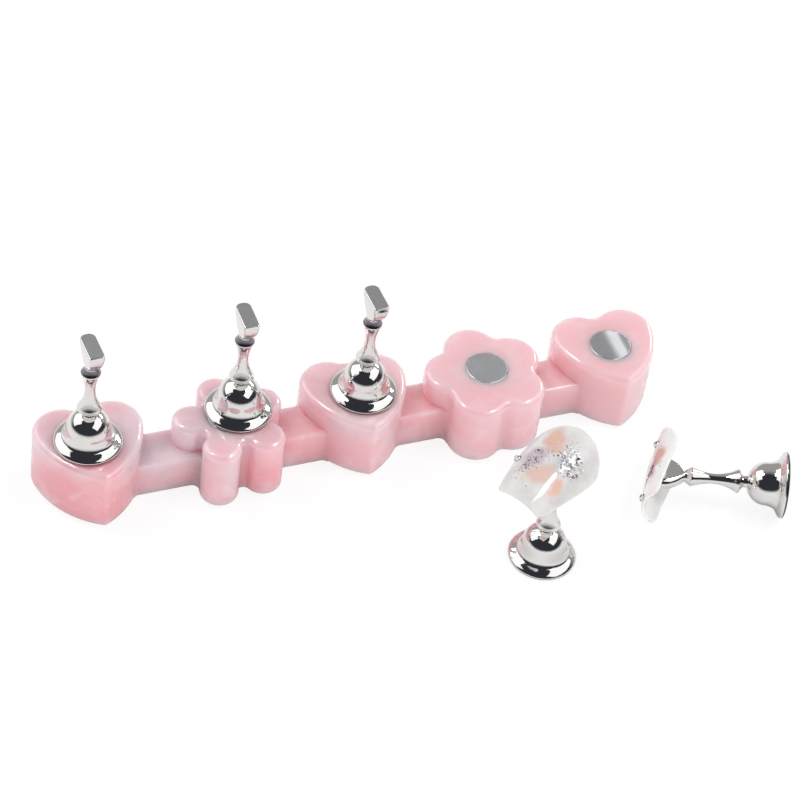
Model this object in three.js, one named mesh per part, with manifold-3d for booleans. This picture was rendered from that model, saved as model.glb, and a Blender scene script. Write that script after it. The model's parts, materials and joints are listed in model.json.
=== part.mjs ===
// Nail practice stand: a cast resin strip of five pads, heart and flower in turn, with a steel disc let
// into the top of each pad, and five magnetic tip holders. Three holders are docked on the pads. One
// stands and one lies in front of the strip, each with a false nail stuck to its head.
// Millimetres. +X runs along the strip, -Y points to the user, +Z is up. The origin is the centre of the
// strip's underside.

import * as THREE from "three";
import { mergeVertices } from "three/addons/utils/BufferGeometryUtils.js";
import Module from "manifold-3d";

const wasm = await Module();
wasm.setup();

// Resin strip
const PAD_PITCH = 32.4;
const PAD_HEIGHT = 16.5;
const PAD_TOP_ROUND = 1.5;
const PAD_BOTTOM_ROUND = 1.4;
const BAR_WIDTH = 10.25;
const BAR_HEIGHT = 10;
const BAR_EDGE_ROUND = 0.7;
const JOIN_ROUND = 1.6;

// Heart pad: two lobes, a rounded notch between them, bowed sides and a rounded point towards the user
const HEART_LOBE_RADIUS = 7.2;
const HEART_LOBE_SPACING = 11.5;
const HEART_LOBE_Y = 4.86;
const HEART_NOTCH_RADIUS = 3.8;
const HEART_TIP_RADIUS = 1.65;
const HEART_TIP_REACH = 12.5;
const HEART_SIDE_RADIUS = 22;

// Flower pads: five round petals with rounded notches, one slim and one plump
const SLIM_PETAL_RADIUS = 4.6;
const SLIM_PETAL_DISTANCE = 9.35;
const SLIM_NOTCH_RADIUS = 1.25;
const PLUMP_PETAL_RADIUS = 6.8;
const PLUMP_PETAL_DISTANCE = 8.25;
const PLUMP_NOTCH_RADIUS = 2.3;
const PETAL_COUNT = 5;
const FLOWER_TURN_DEG = 95.5;

// Discs let into the pads
const DISC_DIAMETER = 10;
const DISC_THICKNESS = 1.5;
const DISC_CHAMFER = 0.2;
const DISC_CLEARANCE = 0.12;

// Tip holder: bell foot, baluster stem and oblong head
const HOLDER_HEIGHT = 30.7;
const FLANGE_DIAMETER = 16;
const FLANGE_RIM_HEIGHT = 0.5;
const FLARE_DIAMETER = 12.6;
const FLARE_HEIGHT = 1.85;
const BELL_DIAMETER = 10.4;
const BELL_SHOULDER_HEIGHT = 4.6;
const BELL_HEIGHT = 9.3;
const NECK_DIAMETER = 2.8;
const LOWER_COLLAR_DIAMETER = 5.8;
const LOWER_COLLAR_HEIGHT = 11.2;
const COLLAR_LAND = 0.25;
const STEM_DIAMETER = 2.5;
const STEM_WAIST_HEIGHT = 17.3;
const UPPER_COLLAR_DIAMETER = 4.6;
const UPPER_COLLAR_HEIGHT = 22.4;
const HEAD_ROOT_RISE = 1.8;
const HEAD_ROOT_HEIGHT = UPPER_COLLAR_HEIGHT + HEAD_ROOT_RISE;
const HEAD_LENGTH = 8.2;
const HEAD_WIDTH = 3.7;
const HEAD_WALL_HEIGHT = 1.1;
const HEAD_TOE_RADIUS = 1.6;
const HEAD_HEEL_RADIUS = 0.6;
const HEAD_EDGE_ROUND = 0.3;

// Magnet glued into the hollow of the bell foot
const MAGNET_DIAMETER = 8;
const MAGNET_THICKNESS = 3;
const MAGNET_CHAMFER = 0.25;
const MAGNET_CLEARANCE = 0.2;
const MAGNET_RECESS = 0.2;
const MAGNET_GLUE = 0.2;
const FOOT_HOLLOW_DIAMETER = 12.4;
const FOOT_HOLLOW_DEPTH = 0.6;

// False nails: arched shells
const LARGE_NAIL_LENGTH = 25.2;
const LARGE_NAIL_WIDTH = 17.5;
const LARGE_NAIL_EDGE_WIDTH = 11.8;
const LARGE_NAIL_ARCH_RADIUS = 9.5;
const SMALL_NAIL_LENGTH = 22.4;
const SMALL_NAIL_WIDTH = 15.3;
const SMALL_NAIL_EDGE_WIDTH = 13;
const SMALL_NAIL_ARCH_RADIUS = 8;
const LARGE_NAIL_CORNER_RADIUS = 1.2;
const SMALL_NAIL_CORNER_RADIUS = 1.8;
const NAIL_THICKNESS = 0.7;
const NAIL_BOW_RADIUS = 75;

// Putty between a head and its nail, as thick as given where the nail's top lies
const LARGE_NAIL_PUTTY_THICKNESS = 1.25;
const SMALL_NAIL_PUTTY_THICKNESS = 1.2;
const PUTTY_LENGTH = 6.4;
const PUTTY_WIDTH = 3;
const PUTTY_EDGE_ROUND = 0.12;
const PUTTY_CLEARANCE = 0.15;

// Rhinestones on the nails
const STONE_DIAMETER = 1.9;
const STONE_HEIGHT = 0.8;
const STONE_GLUE = 0.1;

// Flats that show on round forms, and steps along rounded edges
const LATHE_SEGMENTS = 18;
const DISC_SEGMENTS = 20;
const ROUND_STEPS = 3;
const CURVE_STEPS = 5;
const CUT_OVERRUN = 1;

const degrees = THREE.MathUtils.degToRad;

const RESIN = { color: 0xe7b3bb, roughness: 0.22, metalness: 0 };
const DISC_STEEL = { color: 0xb9bcc0, roughness: 0.38, metalness: 1 };
const CHROME = { color: 0xd8d6d5, roughness: 0.06, metalness: 1 };
const MAGNET_PLATE = { color: 0xa9abae, roughness: 0.3, metalness: 1 };
const NAIL_GEL = { color: 0xe6e3e1, roughness: 0.12, metalness: 0 };
const PUTTY = { color: 0xdfe3e4, roughness: 0.6, metalness: 0 };
const CRYSTAL = { color: 0xe9edf2, roughness: 0.05, metalness: 0 };

// Solids from rings of points, and the joining and cutting of solids. A turned form's faces that shrink to
// nothing on its axis are left out.

function meshOf(name, geometry, finish) {
  const mesh = new THREE.Mesh(geometry, new THREE.MeshStandardMaterial(finish));
  mesh.name = name;
  return mesh;
}

function toManifold(geometry) {
  const bare = geometry.clone();
  bare.deleteAttribute("normal");
  bare.deleteAttribute("uv");
  const merged = mergeVertices(bare);
  const corners = merged.index.array;
  const kept = [];
  for (let i = 0; i < corners.length; i += 3) {
    const [a, b, c] = corners.slice(i, i + 3);
    if (a !== b && b !== c && c !== a) {
      kept.push(a, b, c);
    }
  }
  return new wasm.Manifold(new wasm.Mesh({
    numProp: 3,
    vertProperties: new Float32Array(merged.attributes.position.array),
    triVerts: new Uint32Array(kept),
  }));
}

function toGeometry(solid) {
  const mesh = solid.getMesh();
  const geometry = new THREE.BufferGeometry();
  geometry.setAttribute("position", new THREE.BufferAttribute(mesh.vertProperties, mesh.numProp));
  geometry.setIndex(new THREE.BufferAttribute(mesh.triVerts, 1));
  return geometry;
}

// A profile of radius across and height up, turned about the Z axis.
function turnedForm(profile, segments) {
  return toGeometry(toManifold(new THREE.LatheGeometry(profile, segments).rotateX(Math.PI / 2)));
}

// Rings of equal point count, counter-clockwise seen from +Z, listed from the bottom up.
function loft(rings) {
  const count = rings[0].length;
  const positions = rings.flat().flatMap((point) => [point.x, point.y, point.z]);
  const faces = [];
  for (let level = 0; level + 1 < rings.length; level++) {
    for (let i = 0; i < count; i++) {
      const next = (i + 1) % count;
      const a = level * count + i;
      const b = level * count + next;
      faces.push(a, b, b + count, a, b + count, a + count);
    }
  }
  const bottom = rings[0].map((point) => new THREE.Vector2(point.x, point.y));
  const last = rings[rings.length - 1];
  const top = last.map((point) => new THREE.Vector2(point.x, point.y));
  const lastStart = (rings.length - 1) * count;
  for (const [a, b, c] of THREE.ShapeUtils.triangulateShape(bottom, [])) {
    faces.push(a, c, b);
  }
  for (const [a, b, c] of THREE.ShapeUtils.triangulateShape(top, [])) {
    faces.push(lastStart + a, lastStart + b, lastStart + c);
  }
  const geometry = new THREE.BufferGeometry();
  geometry.setAttribute("position", new THREE.Float32BufferAttribute(positions, 3));
  geometry.setIndex(faces);
  return geometry;
}

// Outlines made of arcs. A hollow arc bends inwards, so drawing the outline in makes its radius larger.

function arcPoints(arc, inset) {
  const radius = arc.hollow ? arc.radius + inset : arc.radius - inset;
  const points = [];
  for (let i = 0; i <= arc.steps; i++) {
    const angle = THREE.MathUtils.lerp(arc.from, arc.to, i / arc.steps);
    points.push(new THREE.Vector2(
      arc.centre.x + radius * Math.cos(angle),
      arc.centre.y + radius * Math.sin(angle),
    ));
  }
  return points;
}

// The ends of neighbouring arcs coincide, so each arc gives up its last point where it meets the next.
function outlinePoints(arcs, inset) {
  return arcs.flatMap((arc) => {
    const points = arcPoints(arc, inset);
    return arc.meetsNext ? points.slice(0, -1) : points;
  });
}

function directionOf(from, to) {
  return Math.atan2(to.y - from.y, to.x - from.x);
}

function after(angle, start) {
  return angle < start ? angle + 2 * Math.PI : angle;
}

// The shorter way round from one direction to another.
function turnBetween(from, to) {
  return Math.atan2(Math.sin(to - from), Math.cos(to - from));
}

function heartArcs() {
  const lobe = new THREE.Vector2(HEART_LOBE_SPACING / 2, HEART_LOBE_Y);
  const tip = new THREE.Vector2(0, HEART_TIP_RADIUS - HEART_TIP_REACH);
  const notchReach = HEART_LOBE_RADIUS + HEART_NOTCH_RADIUS;
  const notch = new THREE.Vector2(0, lobe.y + Math.sqrt(notchReach ** 2 - lobe.x ** 2));

  // The side's centre lies where it touches both the lobe and the point from inside.
  const toLobe = HEART_SIDE_RADIUS - HEART_LOBE_RADIUS;
  const toTip = HEART_SIDE_RADIUS - HEART_TIP_RADIUS;
  const span = lobe.distanceTo(tip);
  const along = (toLobe ** 2 - toTip ** 2 + span ** 2) / (2 * span);
  const across = Math.sqrt(toLobe ** 2 - along ** 2);
  const unit = tip.clone().sub(lobe).divideScalar(span);
  const side = new THREE.Vector2(
    lobe.x + along * unit.x + across * unit.y,
    lobe.y + along * unit.y - across * unit.x,
  );

  const tipEnd = directionOf(side, tip);
  const sideEnd = directionOf(side, lobe);
  const lobeEnd = after(directionOf(lobe, notch), sideEnd);
  const notchStart = directionOf(notch, lobe);
  const right = [
    { centre: tip, radius: HEART_TIP_RADIUS, from: -Math.PI / 2, to: tipEnd, steps: 2 },
    { centre: side, radius: HEART_SIDE_RADIUS, from: tipEnd, to: sideEnd, steps: 4 },
    { centre: lobe, radius: HEART_LOBE_RADIUS, from: sideEnd, to: lobeEnd, steps: 9 },
    { centre: notch, radius: HEART_NOTCH_RADIUS, from: notchStart, to: -Math.PI / 2, steps: 2, hollow: true },
  ];
  const left = right.map((arc) => ({
    ...arc,
    centre: new THREE.Vector2(-arc.centre.x, arc.centre.y),
    from: Math.PI - arc.to,
    to: Math.PI - arc.from,
  })).reverse();
  return [...right, ...left].map((arc) => ({ ...arc, meetsNext: true }));
}

function flowerArcs(petalRadius, petalDistance, notchRadius) {
  const half = Math.PI / PETAL_COUNT;
  const reach = petalRadius + notchRadius;
  const notchDistance = petalDistance * Math.cos(half)
    + Math.sqrt(reach ** 2 - (petalDistance * Math.sin(half)) ** 2);
  const polar = (distance, angle) => new THREE.Vector2(
    distance * Math.cos(angle),
    distance * Math.sin(angle),
  );
  const arcs = [];
  for (let i = 0; i < PETAL_COUNT; i++) {
    const angle = degrees(FLOWER_TURN_DEG) + 2 * half * i;
    const petal = polar(petalDistance, angle);
    const notchBefore = polar(notchDistance, angle - half);
    const notchAfter = polar(notchDistance, angle + half);
    const nextPetal = polar(petalDistance, angle + 2 * half);
    const petalStart = directionOf(petal, notchBefore);
    const notchStart = directionOf(notchAfter, petal);
    const notchEnd = directionOf(notchAfter, nextPetal);
    arcs.push({
      centre: petal,
      radius: petalRadius,
      from: petalStart,
      to: after(directionOf(petal, notchAfter), petalStart),
      steps: 7,
      meetsNext: true,
    });
    arcs.push({
      centre: notchAfter,
      radius: notchRadius,
      from: after(notchStart, notchEnd),
      to: notchEnd,
      steps: 3,
      hollow: true,
      meetsNext: true,
    });
  }
  return arcs;
}

// A bar's outline has four corner arcs joined by straight runs. The corners at its +Y side can have a
// radius of their own.
function barArcs(length, width, cornerRadius, farCornerRadius = cornerRadius) {
  return [[1, -1], [1, 1], [-1, 1], [-1, -1]].map(([sideX, sideY], i) => {
    const radius = sideY > 0 ? farCornerRadius : cornerRadius;
    return {
      centre: new THREE.Vector2(sideX * (length / 2 - radius), sideY * (width / 2 - radius)),
      radius,
      from: (i - 1) * Math.PI / 2,
      to: i * Math.PI / 2,
      steps: ROUND_STEPS,
    };
  });
}

// Heights and insets of the rings of a slab with rounded bottom and top edges.
function roundedLevels(height, bottomRound, topRound) {
  const bottom = [];
  const top = [];
  for (let i = 0; i <= ROUND_STEPS; i++) {
    const angle = (i / ROUND_STEPS) * (Math.PI / 2);
    const rise = 1 - Math.cos(angle);
    const inset = 1 - Math.sin(angle);
    bottom.push({ z: bottomRound * rise, inset: bottomRound * inset });
    top.unshift({ z: height - topRound * rise, inset: topRound * inset });
  }
  return [...bottom, ...top];
}

function slab(arcs, height, bottomRound, topRound) {
  return loft(roundedLevels(height, bottomRound, topRound).map(({ z, inset }) => (
    outlinePoints(arcs, inset).map((point) => new THREE.Vector3(point.x, point.y, z))
  )));
}

// Resin strip

// Flowers sit a little off the pitch line, as shares of how far their petals stand from their middle.
const SLIM_SHIFT_SHARES = [0.0624, -0.0797];
const PLUMP_SHIFT_SHARES = [-0.0314, -0.0903];

function padPlaces() {
  const heart = { arcs: heartArcs(), shift: [0, 0] };
  const slim = {
    arcs: flowerArcs(SLIM_PETAL_RADIUS, SLIM_PETAL_DISTANCE, SLIM_NOTCH_RADIUS),
    shift: SLIM_SHIFT_SHARES.map((share) => share * SLIM_PETAL_DISTANCE),
  };
  const plump = {
    arcs: flowerArcs(PLUMP_PETAL_RADIUS, PLUMP_PETAL_DISTANCE, PLUMP_NOTCH_RADIUS),
    shift: PLUMP_SHIFT_SHARES.map((share) => share * PLUMP_PETAL_DISTANCE),
  };
  const kinds = [heart, slim, heart, plump, heart];
  return kinds.map((kind, i) => ({
    arcs: kind.arcs,
    shift: kind.shift,
    x: (i - (kinds.length - 1) / 2) * PAD_PITCH,
  }));
}

const PADS = padPlaces();

function discRecess(x) {
  const depth = DISC_THICKNESS + CUT_OVERRUN;
  const radius = DISC_DIAMETER / 2 + DISC_CLEARANCE;
  const geometry = new THREE.CylinderGeometry(radius, radius, depth, DISC_SEGMENTS);
  geometry.rotateX(Math.PI / 2);
  geometry.translate(x, 0, PAD_HEIGHT - DISC_THICKNESS + depth / 2);
  return toManifold(geometry);
}

// Where a round of JOIN_ROUND touches the bar's side and sinks a little into a pad's wall, whose flats lie
// inside its arc. Side is 1 on the pad's +X side and -1 on the other, front is 1 on the bar's +Y side and -1
// on the other.
function joinCentre(pad, side, front) {
  const sinkShare = 0.06;
  const y = front * (BAR_WIDTH / 2 + JOIN_ROUND);
  const touching = [];
  for (const arc of pad.arcs.filter((candidate) => !candidate.hollow)) {
    const middle = new THREE.Vector2(arc.centre.x + pad.shift[0], arc.centre.y + pad.shift[1]);
    const reach = arc.radius + JOIN_ROUND * (1 - sinkShare);
    if (Math.abs(y - middle.y) < reach) {
      const x = middle.x + side * Math.sqrt(reach ** 2 - (y - middle.y) ** 2);
      const centre = new THREE.Vector2(x, y);
      if (after(directionOf(middle, centre), arc.from) <= arc.to) {
        touching.push({ centre, middle });
      }
    }
  }
  return touching.reduce((best, found) => (side * found.centre.x > side * best.centre.x ? found : best));
}

// The web that rounds the corner between a pad's wall and the bar's side. Its inner corner is buried in both.
function joinWeb(pad, side, front) {
  const { centre, middle } = joinCentre(pad, side, front);
  const toBar = -front * Math.PI / 2;
  const toPad = toBar + turnBetween(toBar, directionOf(centre, middle));
  const arc = { centre, radius: JOIN_ROUND, from: toBar, to: toPad, steps: 2, hollow: true };
  const buried = new THREE.Vector2(centre.x - side * 2 * JOIN_ROUND, centre.y - front * 2 * JOIN_ROUND);
  const rings = roundedLevels(BAR_HEIGHT, BAR_EDGE_ROUND, BAR_EDGE_ROUND).map(({ z, inset }) => {
    const outline = [...arcPoints(arc, inset), buried];
    if (THREE.ShapeUtils.isClockWise(outline)) {
      outline.reverse();
    }
    return outline.map((point) => new THREE.Vector3(point.x + pad.x, point.y, z));
  });
  return toManifold(loft(rings));
}

function resinBase() {
  const length = (PADS.length - 1) * PAD_PITCH;
  const bar = barArcs(length, BAR_WIDTH, BAR_WIDTH / 4);
  let solid = toManifold(slab(bar, BAR_HEIGHT, BAR_EDGE_ROUND, BAR_EDGE_ROUND));
  for (const pad of PADS) {
    const geometry = slab(pad.arcs, PAD_HEIGHT, PAD_BOTTOM_ROUND, PAD_TOP_ROUND);
    geometry.translate(pad.x + pad.shift[0], pad.shift[1], 0);
    solid = solid.add(toManifold(geometry));
  }
  PADS.slice(1).forEach((pad, i) => {
    for (const front of [-1, 1]) {
      solid = solid.add(joinWeb(PADS[i], 1, front)).add(joinWeb(pad, -1, front));
    }
  });
  for (const pad of PADS) {
    solid = solid.subtract(discRecess(pad.x));
  }
  return meshOf("resin_base", toGeometry(solid), RESIN);
}

// A flat round disc with a small chamfer on both edges, standing on z = 0.
function chamferedDisc(diameter, thickness, chamfer) {
  const radius = diameter / 2;
  return turnedForm([
    new THREE.Vector2(0, 0),
    new THREE.Vector2(radius - chamfer, 0),
    new THREE.Vector2(radius, chamfer),
    new THREE.Vector2(radius, thickness - chamfer),
    new THREE.Vector2(radius - chamfer, thickness),
    new THREE.Vector2(0, thickness),
  ], DISC_SEGMENTS);
}

function padDiscs() {
  return PADS.map((pad, i) => {
    const geometry = chamferedDisc(DISC_DIAMETER, DISC_THICKNESS, DISC_CHAMFER);
    const mesh = meshOf(`pad_disc_${i + 1}`, geometry, DISC_STEEL);
    mesh.position.set(pad.x, 0, PAD_HEIGHT - DISC_THICKNESS);
    return mesh;
  });
}

// Tip holder

// Radius across and height up, from the axis at the underside to the axis at the root of the head.
function holderProfile() {
  const point = (x, y) => new THREE.Vector2(x, y);
  const flangeRadius = FLANGE_DIAMETER / 2;
  const flareRadius = FLARE_DIAMETER / 2;
  const bellRadius = BELL_DIAMETER / 2;
  const domeHeight = BELL_HEIGHT - BELL_SHOULDER_HEIGHT;
  const neckRadius = NECK_DIAMETER / 2;
  const lowerCollar = LOWER_COLLAR_DIAMETER / 2;
  const upperCollar = UPPER_COLLAR_DIAMETER / 2;
  const waistRadius = STEM_DIAMETER / 2;
  const slopePullShares = [0.37, 0.53, 0.7];
  const flarePullShares = [0.45, 0.09, 0.6];
  const stemSpreadShare = 1.25;
  const stemPullShares = [0.4, 0.65];
  const undercutShare = 0.75;

  // The flange slopes up from its rim to where the flare starts to sweep into the bell's wall.
  const rimFoot = new THREE.EllipseCurve(
    flangeRadius - FLANGE_RIM_HEIGHT, FLANGE_RIM_HEIGHT,
    FLANGE_RIM_HEIGHT, FLANGE_RIM_HEIGHT, -Math.PI / 2, 0,
  );
  const slope = new THREE.CubicBezierCurve(
    point(flangeRadius, FLANGE_RIM_HEIGHT),
    point(flangeRadius, THREE.MathUtils.lerp(FLANGE_RIM_HEIGHT, FLARE_HEIGHT, slopePullShares[0])),
    point(
      THREE.MathUtils.lerp(flangeRadius, flareRadius, slopePullShares[1]),
      THREE.MathUtils.lerp(FLANGE_RIM_HEIGHT, FLARE_HEIGHT, slopePullShares[2]),
    ),
    point(flareRadius, FLARE_HEIGHT),
  );
  const flare = new THREE.CubicBezierCurve(
    point(flareRadius, FLARE_HEIGHT),
    point(
      THREE.MathUtils.lerp(flareRadius, bellRadius, flarePullShares[0]),
      THREE.MathUtils.lerp(FLARE_HEIGHT, BELL_SHOULDER_HEIGHT, flarePullShares[1]),
    ),
    point(bellRadius, THREE.MathUtils.lerp(FLARE_HEIGHT, BELL_SHOULDER_HEIGHT, flarePullShares[2])),
    point(bellRadius, BELL_SHOULDER_HEIGHT),
  );
  const dome = new THREE.EllipseCurve(
    0, BELL_SHOULDER_HEIGHT, bellRadius, domeHeight, 0, Math.acos(neckRadius / bellRadius),
  );
  const [lowerPull, upperPull] = stemPullShares.map((share) => (
    THREE.MathUtils.lerp(LOWER_COLLAR_HEIGHT, STEM_WAIST_HEIGHT, share)
  ));
  const lowerStem = new THREE.CubicBezierCurve(
    point(lowerCollar, LOWER_COLLAR_HEIGHT + COLLAR_LAND),
    point(waistRadius * stemSpreadShare, lowerPull),
    point(waistRadius, upperPull),
    point(waistRadius, STEM_WAIST_HEIGHT),
  );
  const upperStem = new THREE.QuadraticBezierCurve(
    point(waistRadius, STEM_WAIST_HEIGHT),
    point(waistRadius, THREE.MathUtils.lerp(STEM_WAIST_HEIGHT, UPPER_COLLAR_HEIGHT, stemPullShares[0])),
    point(upperCollar, UPPER_COLLAR_HEIGHT),
  );
  const undercut = lowerCollar - neckRadius;
  return [
    point(0, 0),
    ...rimFoot.getPoints(ROUND_STEPS - 1),
    ...slope.getPoints(ROUND_STEPS).slice(1),
    ...flare.getPoints(CURVE_STEPS - 2).slice(1),
    ...dome.getPoints(CURVE_STEPS - 1).slice(1),
    point(neckRadius, LOWER_COLLAR_HEIGHT - undercut * undercutShare),
    point(lowerCollar, LOWER_COLLAR_HEIGHT),
    ...lowerStem.getPoints(CURVE_STEPS - 2),
    ...upperStem.getPoints(CURVE_STEPS - 3).slice(1),
    point(upperCollar, UPPER_COLLAR_HEIGHT + COLLAR_LAND),
    point(neckRadius, HEAD_ROOT_HEIGHT),
    point(0, HEAD_ROOT_HEIGHT),
  ];
}

// The head fans out from the neck along Y, with flat broad sides, to an oblong seat. Its corners are wide
// at the toe, the +Y end, and small at the heel.
function holderHead() {
  const neckRadius = NECK_DIAMETER / 2;
  const wallFoot = HOLDER_HEIGHT - HEAD_WALL_HEIGHT;
  const cornerLimitShare = 0.9;
  const rootShare = 0.9;
  const fanPower = 0.85;
  const ringAt = (z, halfLength, halfWidth, inset) => {
    const [heel, toe] = [HEAD_HEEL_RADIUS, HEAD_TOE_RADIUS].map((radius) => (
      Math.min(radius, halfWidth * cornerLimitShare)
    ));
    const arcs = barArcs(2 * halfWidth, 2 * halfLength, heel, toe);
    return outlinePoints(arcs, inset).map((p) => new THREE.Vector3(p.x, p.y, z));
  };
  const rings = [];
  for (let i = 0; i <= CURVE_STEPS; i++) {
    const share = i / CURVE_STEPS;
    rings.push(ringAt(
      THREE.MathUtils.lerp(HEAD_ROOT_HEIGHT, wallFoot, share),
      THREE.MathUtils.lerp(neckRadius, HEAD_LENGTH / 2, Math.sin(share * Math.PI / 2) ** fanPower),
      THREE.MathUtils.lerp(neckRadius, HEAD_WIDTH / 2, share),
      0,
    ));
  }
  // The root starts inside the stem, so that the two join in one casting.
  const rootDepth = (HEAD_ROOT_HEIGHT - UPPER_COLLAR_HEIGHT) / 2;
  const rootRadius = neckRadius * rootShare;
  rings.unshift(ringAt(HEAD_ROOT_HEIGHT - rootDepth, rootRadius, rootRadius, 0));
  const edgeFoot = HOLDER_HEIGHT - HEAD_EDGE_ROUND;
  rings.push(ringAt(edgeFoot, HEAD_LENGTH / 2, HEAD_WIDTH / 2, 0));
  rings.push(ringAt(HOLDER_HEIGHT, HEAD_LENGTH / 2, HEAD_WIDTH / 2, HEAD_EDGE_ROUND));
  return toManifold(loft(rings));
}

// Cylinder cut out of the underside, up to the given height.
function footCut(diameter, height) {
  const depth = height + CUT_OVERRUN;
  const geometry = new THREE.CylinderGeometry(diameter / 2, diameter / 2, depth, LATHE_SEGMENTS);
  geometry.rotateX(Math.PI / 2);
  geometry.translate(0, 0, height - depth / 2);
  return toManifold(geometry);
}

function holderCasting() {
  const magnetBore = MAGNET_DIAMETER + 2 * MAGNET_CLEARANCE;
  const solid = toManifold(turnedForm(holderProfile(), LATHE_SEGMENTS))
    .add(holderHead())
    .subtract(footCut(FOOT_HOLLOW_DIAMETER, FOOT_HOLLOW_DEPTH))
    .subtract(footCut(magnetBore, MAGNET_RECESS + MAGNET_THICKNESS + MAGNET_GLUE));
  return toGeometry(solid);
}

// A holder stands on z = 0 in its own group, with its magnet; its head is turned about the axis.
function holder(number, headTurn) {
  const group = new THREE.Group();
  const casting = meshOf(`holder_${number}`, holderCasting(), CHROME);
  casting.rotation.z = headTurn;
  const magnetShape = chamferedDisc(MAGNET_DIAMETER, MAGNET_THICKNESS, MAGNET_CHAMFER);
  const magnet = meshOf(`holder_magnet_${number}`, magnetShape, MAGNET_PLATE);
  magnet.position.z = MAGNET_RECESS;
  group.add(casting, magnet);
  return group;
}

// False nails: length along +X from the cuticle end to the free edge, top of the arch at the origin

// Stations along a nail, each with its half width: a round or, with a higher power, a blunter cuticle end,
// then sides that draw in, and rounded corners at the free edge.
function nailStations(nail) {
  const widest = nail.length * nail.widestShare;
  const roundSteps = 6;
  const sideSteps = 4;
  const cornerSteps = 3;
  const firstAngleDeg = 14;
  const drawInPower = 1.7;
  const stations = [];
  for (let i = 0; i <= roundSteps; i++) {
    const angle = THREE.MathUtils.lerp(degrees(firstAngleDeg), Math.PI / 2, i / roundSteps);
    stations.push({
      along: widest * (1 - Math.max(0, Math.cos(angle)) ** (2 / nail.cuticlePower)) - nail.length / 2,
      half: (nail.width / 2) * Math.sin(angle) ** (2 / nail.cuticlePower),
    });
  }
  const sideHalf = (distance) => {
    const share = (distance - widest) / (nail.length - widest);
    return THREE.MathUtils.lerp(nail.width, nail.edgeWidth, share ** drawInPower) / 2;
  };
  const cornerStart = nail.length - nail.cornerRadius;
  for (let i = 1; i <= sideSteps; i++) {
    const distance = THREE.MathUtils.lerp(widest, cornerStart, i / sideSteps);
    stations.push({ along: distance - nail.length / 2, half: sideHalf(distance) });
  }
  for (let i = 1; i <= cornerSteps; i++) {
    const angle = (i / cornerSteps) * (Math.PI / 2);
    const distance = cornerStart + nail.cornerRadius * Math.sin(angle);
    const drawnIn = nail.cornerRadius * (1 - Math.cos(angle));
    stations.push({ along: distance - nail.length / 2, half: sideHalf(distance) - drawnIn });
  }
  return stations;
}

// How far the nail's line drops towards both ends.
function nailBow(along) {
  return along ** 2 / (2 * NAIL_BOW_RADIUS);
}

// A point under the arch: across is a share of the half width's angle, depth is measured in from outside.
function nailPoint(nail, along, half, across, depth) {
  const angle = Math.asin(half / nail.archRadius) * across;
  const radius = nail.archRadius - depth;
  return {
    angle,
    position: new THREE.Vector3(
      along,
      radius * Math.sin(angle),
      radius * Math.cos(angle) - nail.archRadius - nailBow(along),
    ),
  };
}

function nailShell(nail) {
  const acrossSteps = 12;
  const rings = nailStations(nail).map(({ along, half }) => {
    const ring = [];
    for (let i = 0; i <= acrossSteps; i++) {
      const across = 1 - 2 * (i / acrossSteps);
      ring.push(nailPoint(nail, along, half, across, 0).position);
    }
    for (let i = 0; i <= acrossSteps; i++) {
      const across = 2 * (i / acrossSteps) - 1;
      ring.push(nailPoint(nail, along, half, across, NAIL_THICKNESS).position);
    }
    // Lofts rise along +Z, so the nail is made upright and then laid down along +X.
    return ring.map((p) => new THREE.Vector3(p.y, p.z, p.x));
  });
  const layDown = new THREE.Matrix4().makeBasis(
    new THREE.Vector3(0, 1, 0),
    new THREE.Vector3(0, 0, 1),
    new THREE.Vector3(1, 0, 0),
  );
  return loft(rings).applyMatrix4(layDown);
}

// A flat-backed stone: a short girdle, slanted facets and a flat table.
function stoneShape() {
  const radius = STONE_DIAMETER / 2;
  const girdleShare = 0.25;
  const tableShare = 0.6;
  const facets = 8;
  return turnedForm([
    new THREE.Vector2(0, 0),
    new THREE.Vector2(radius, 0),
    new THREE.Vector2(radius, STONE_HEIGHT * girdleShare),
    new THREE.Vector2(radius * tableShare, STONE_HEIGHT),
    new THREE.Vector2(0, STONE_HEIGHT),
  ], facets);
}

function halfWidthAt(nail, along) {
  const stations = nailStations(nail);
  const next = Math.max(1, stations.findIndex((station) => station.along >= along));
  const [a, b] = [stations[next - 1], stations[next]];
  return THREE.MathUtils.mapLinear(along, a.along, b.along, a.half, b.half);
}

function stone(name, nail, [alongShare, acrossShare]) {
  const along = alongShare * nail.length;
  const seat = nailPoint(nail, along, halfWidthAt(nail, along), acrossShare, -STONE_GLUE);
  const mesh = meshOf(name, stoneShape(), CRYSTAL);
  mesh.position.copy(seat.position);
  mesh.rotation.x = -seat.angle;
  return mesh;
}

// Where a nail sits on its holder: its top over the head, then turned, pitched and rolled.
function nailPlacement(nail) {
  const top = HOLDER_HEIGHT + nail.puttyThickness + 2 * PUTTY_CLEARANCE + NAIL_THICKNESS;
  return new THREE.Matrix4().compose(
    new THREE.Vector3(nail.shiftShares[0] * HEAD_LENGTH, nail.shiftShares[1] * HEAD_LENGTH, top),
    new THREE.Quaternion().setFromEuler(
      new THREE.Euler(degrees(nail.rollDeg), degrees(nail.pitchDeg), degrees(nail.turnDeg), "ZYX"),
    ),
    new THREE.Vector3(1, 1, 1),
  );
}

// A head lines up with the nail it carries.
function headTurnUnder(nail) {
  return degrees(nail.turnDeg) - Math.PI / 2;
}

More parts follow.
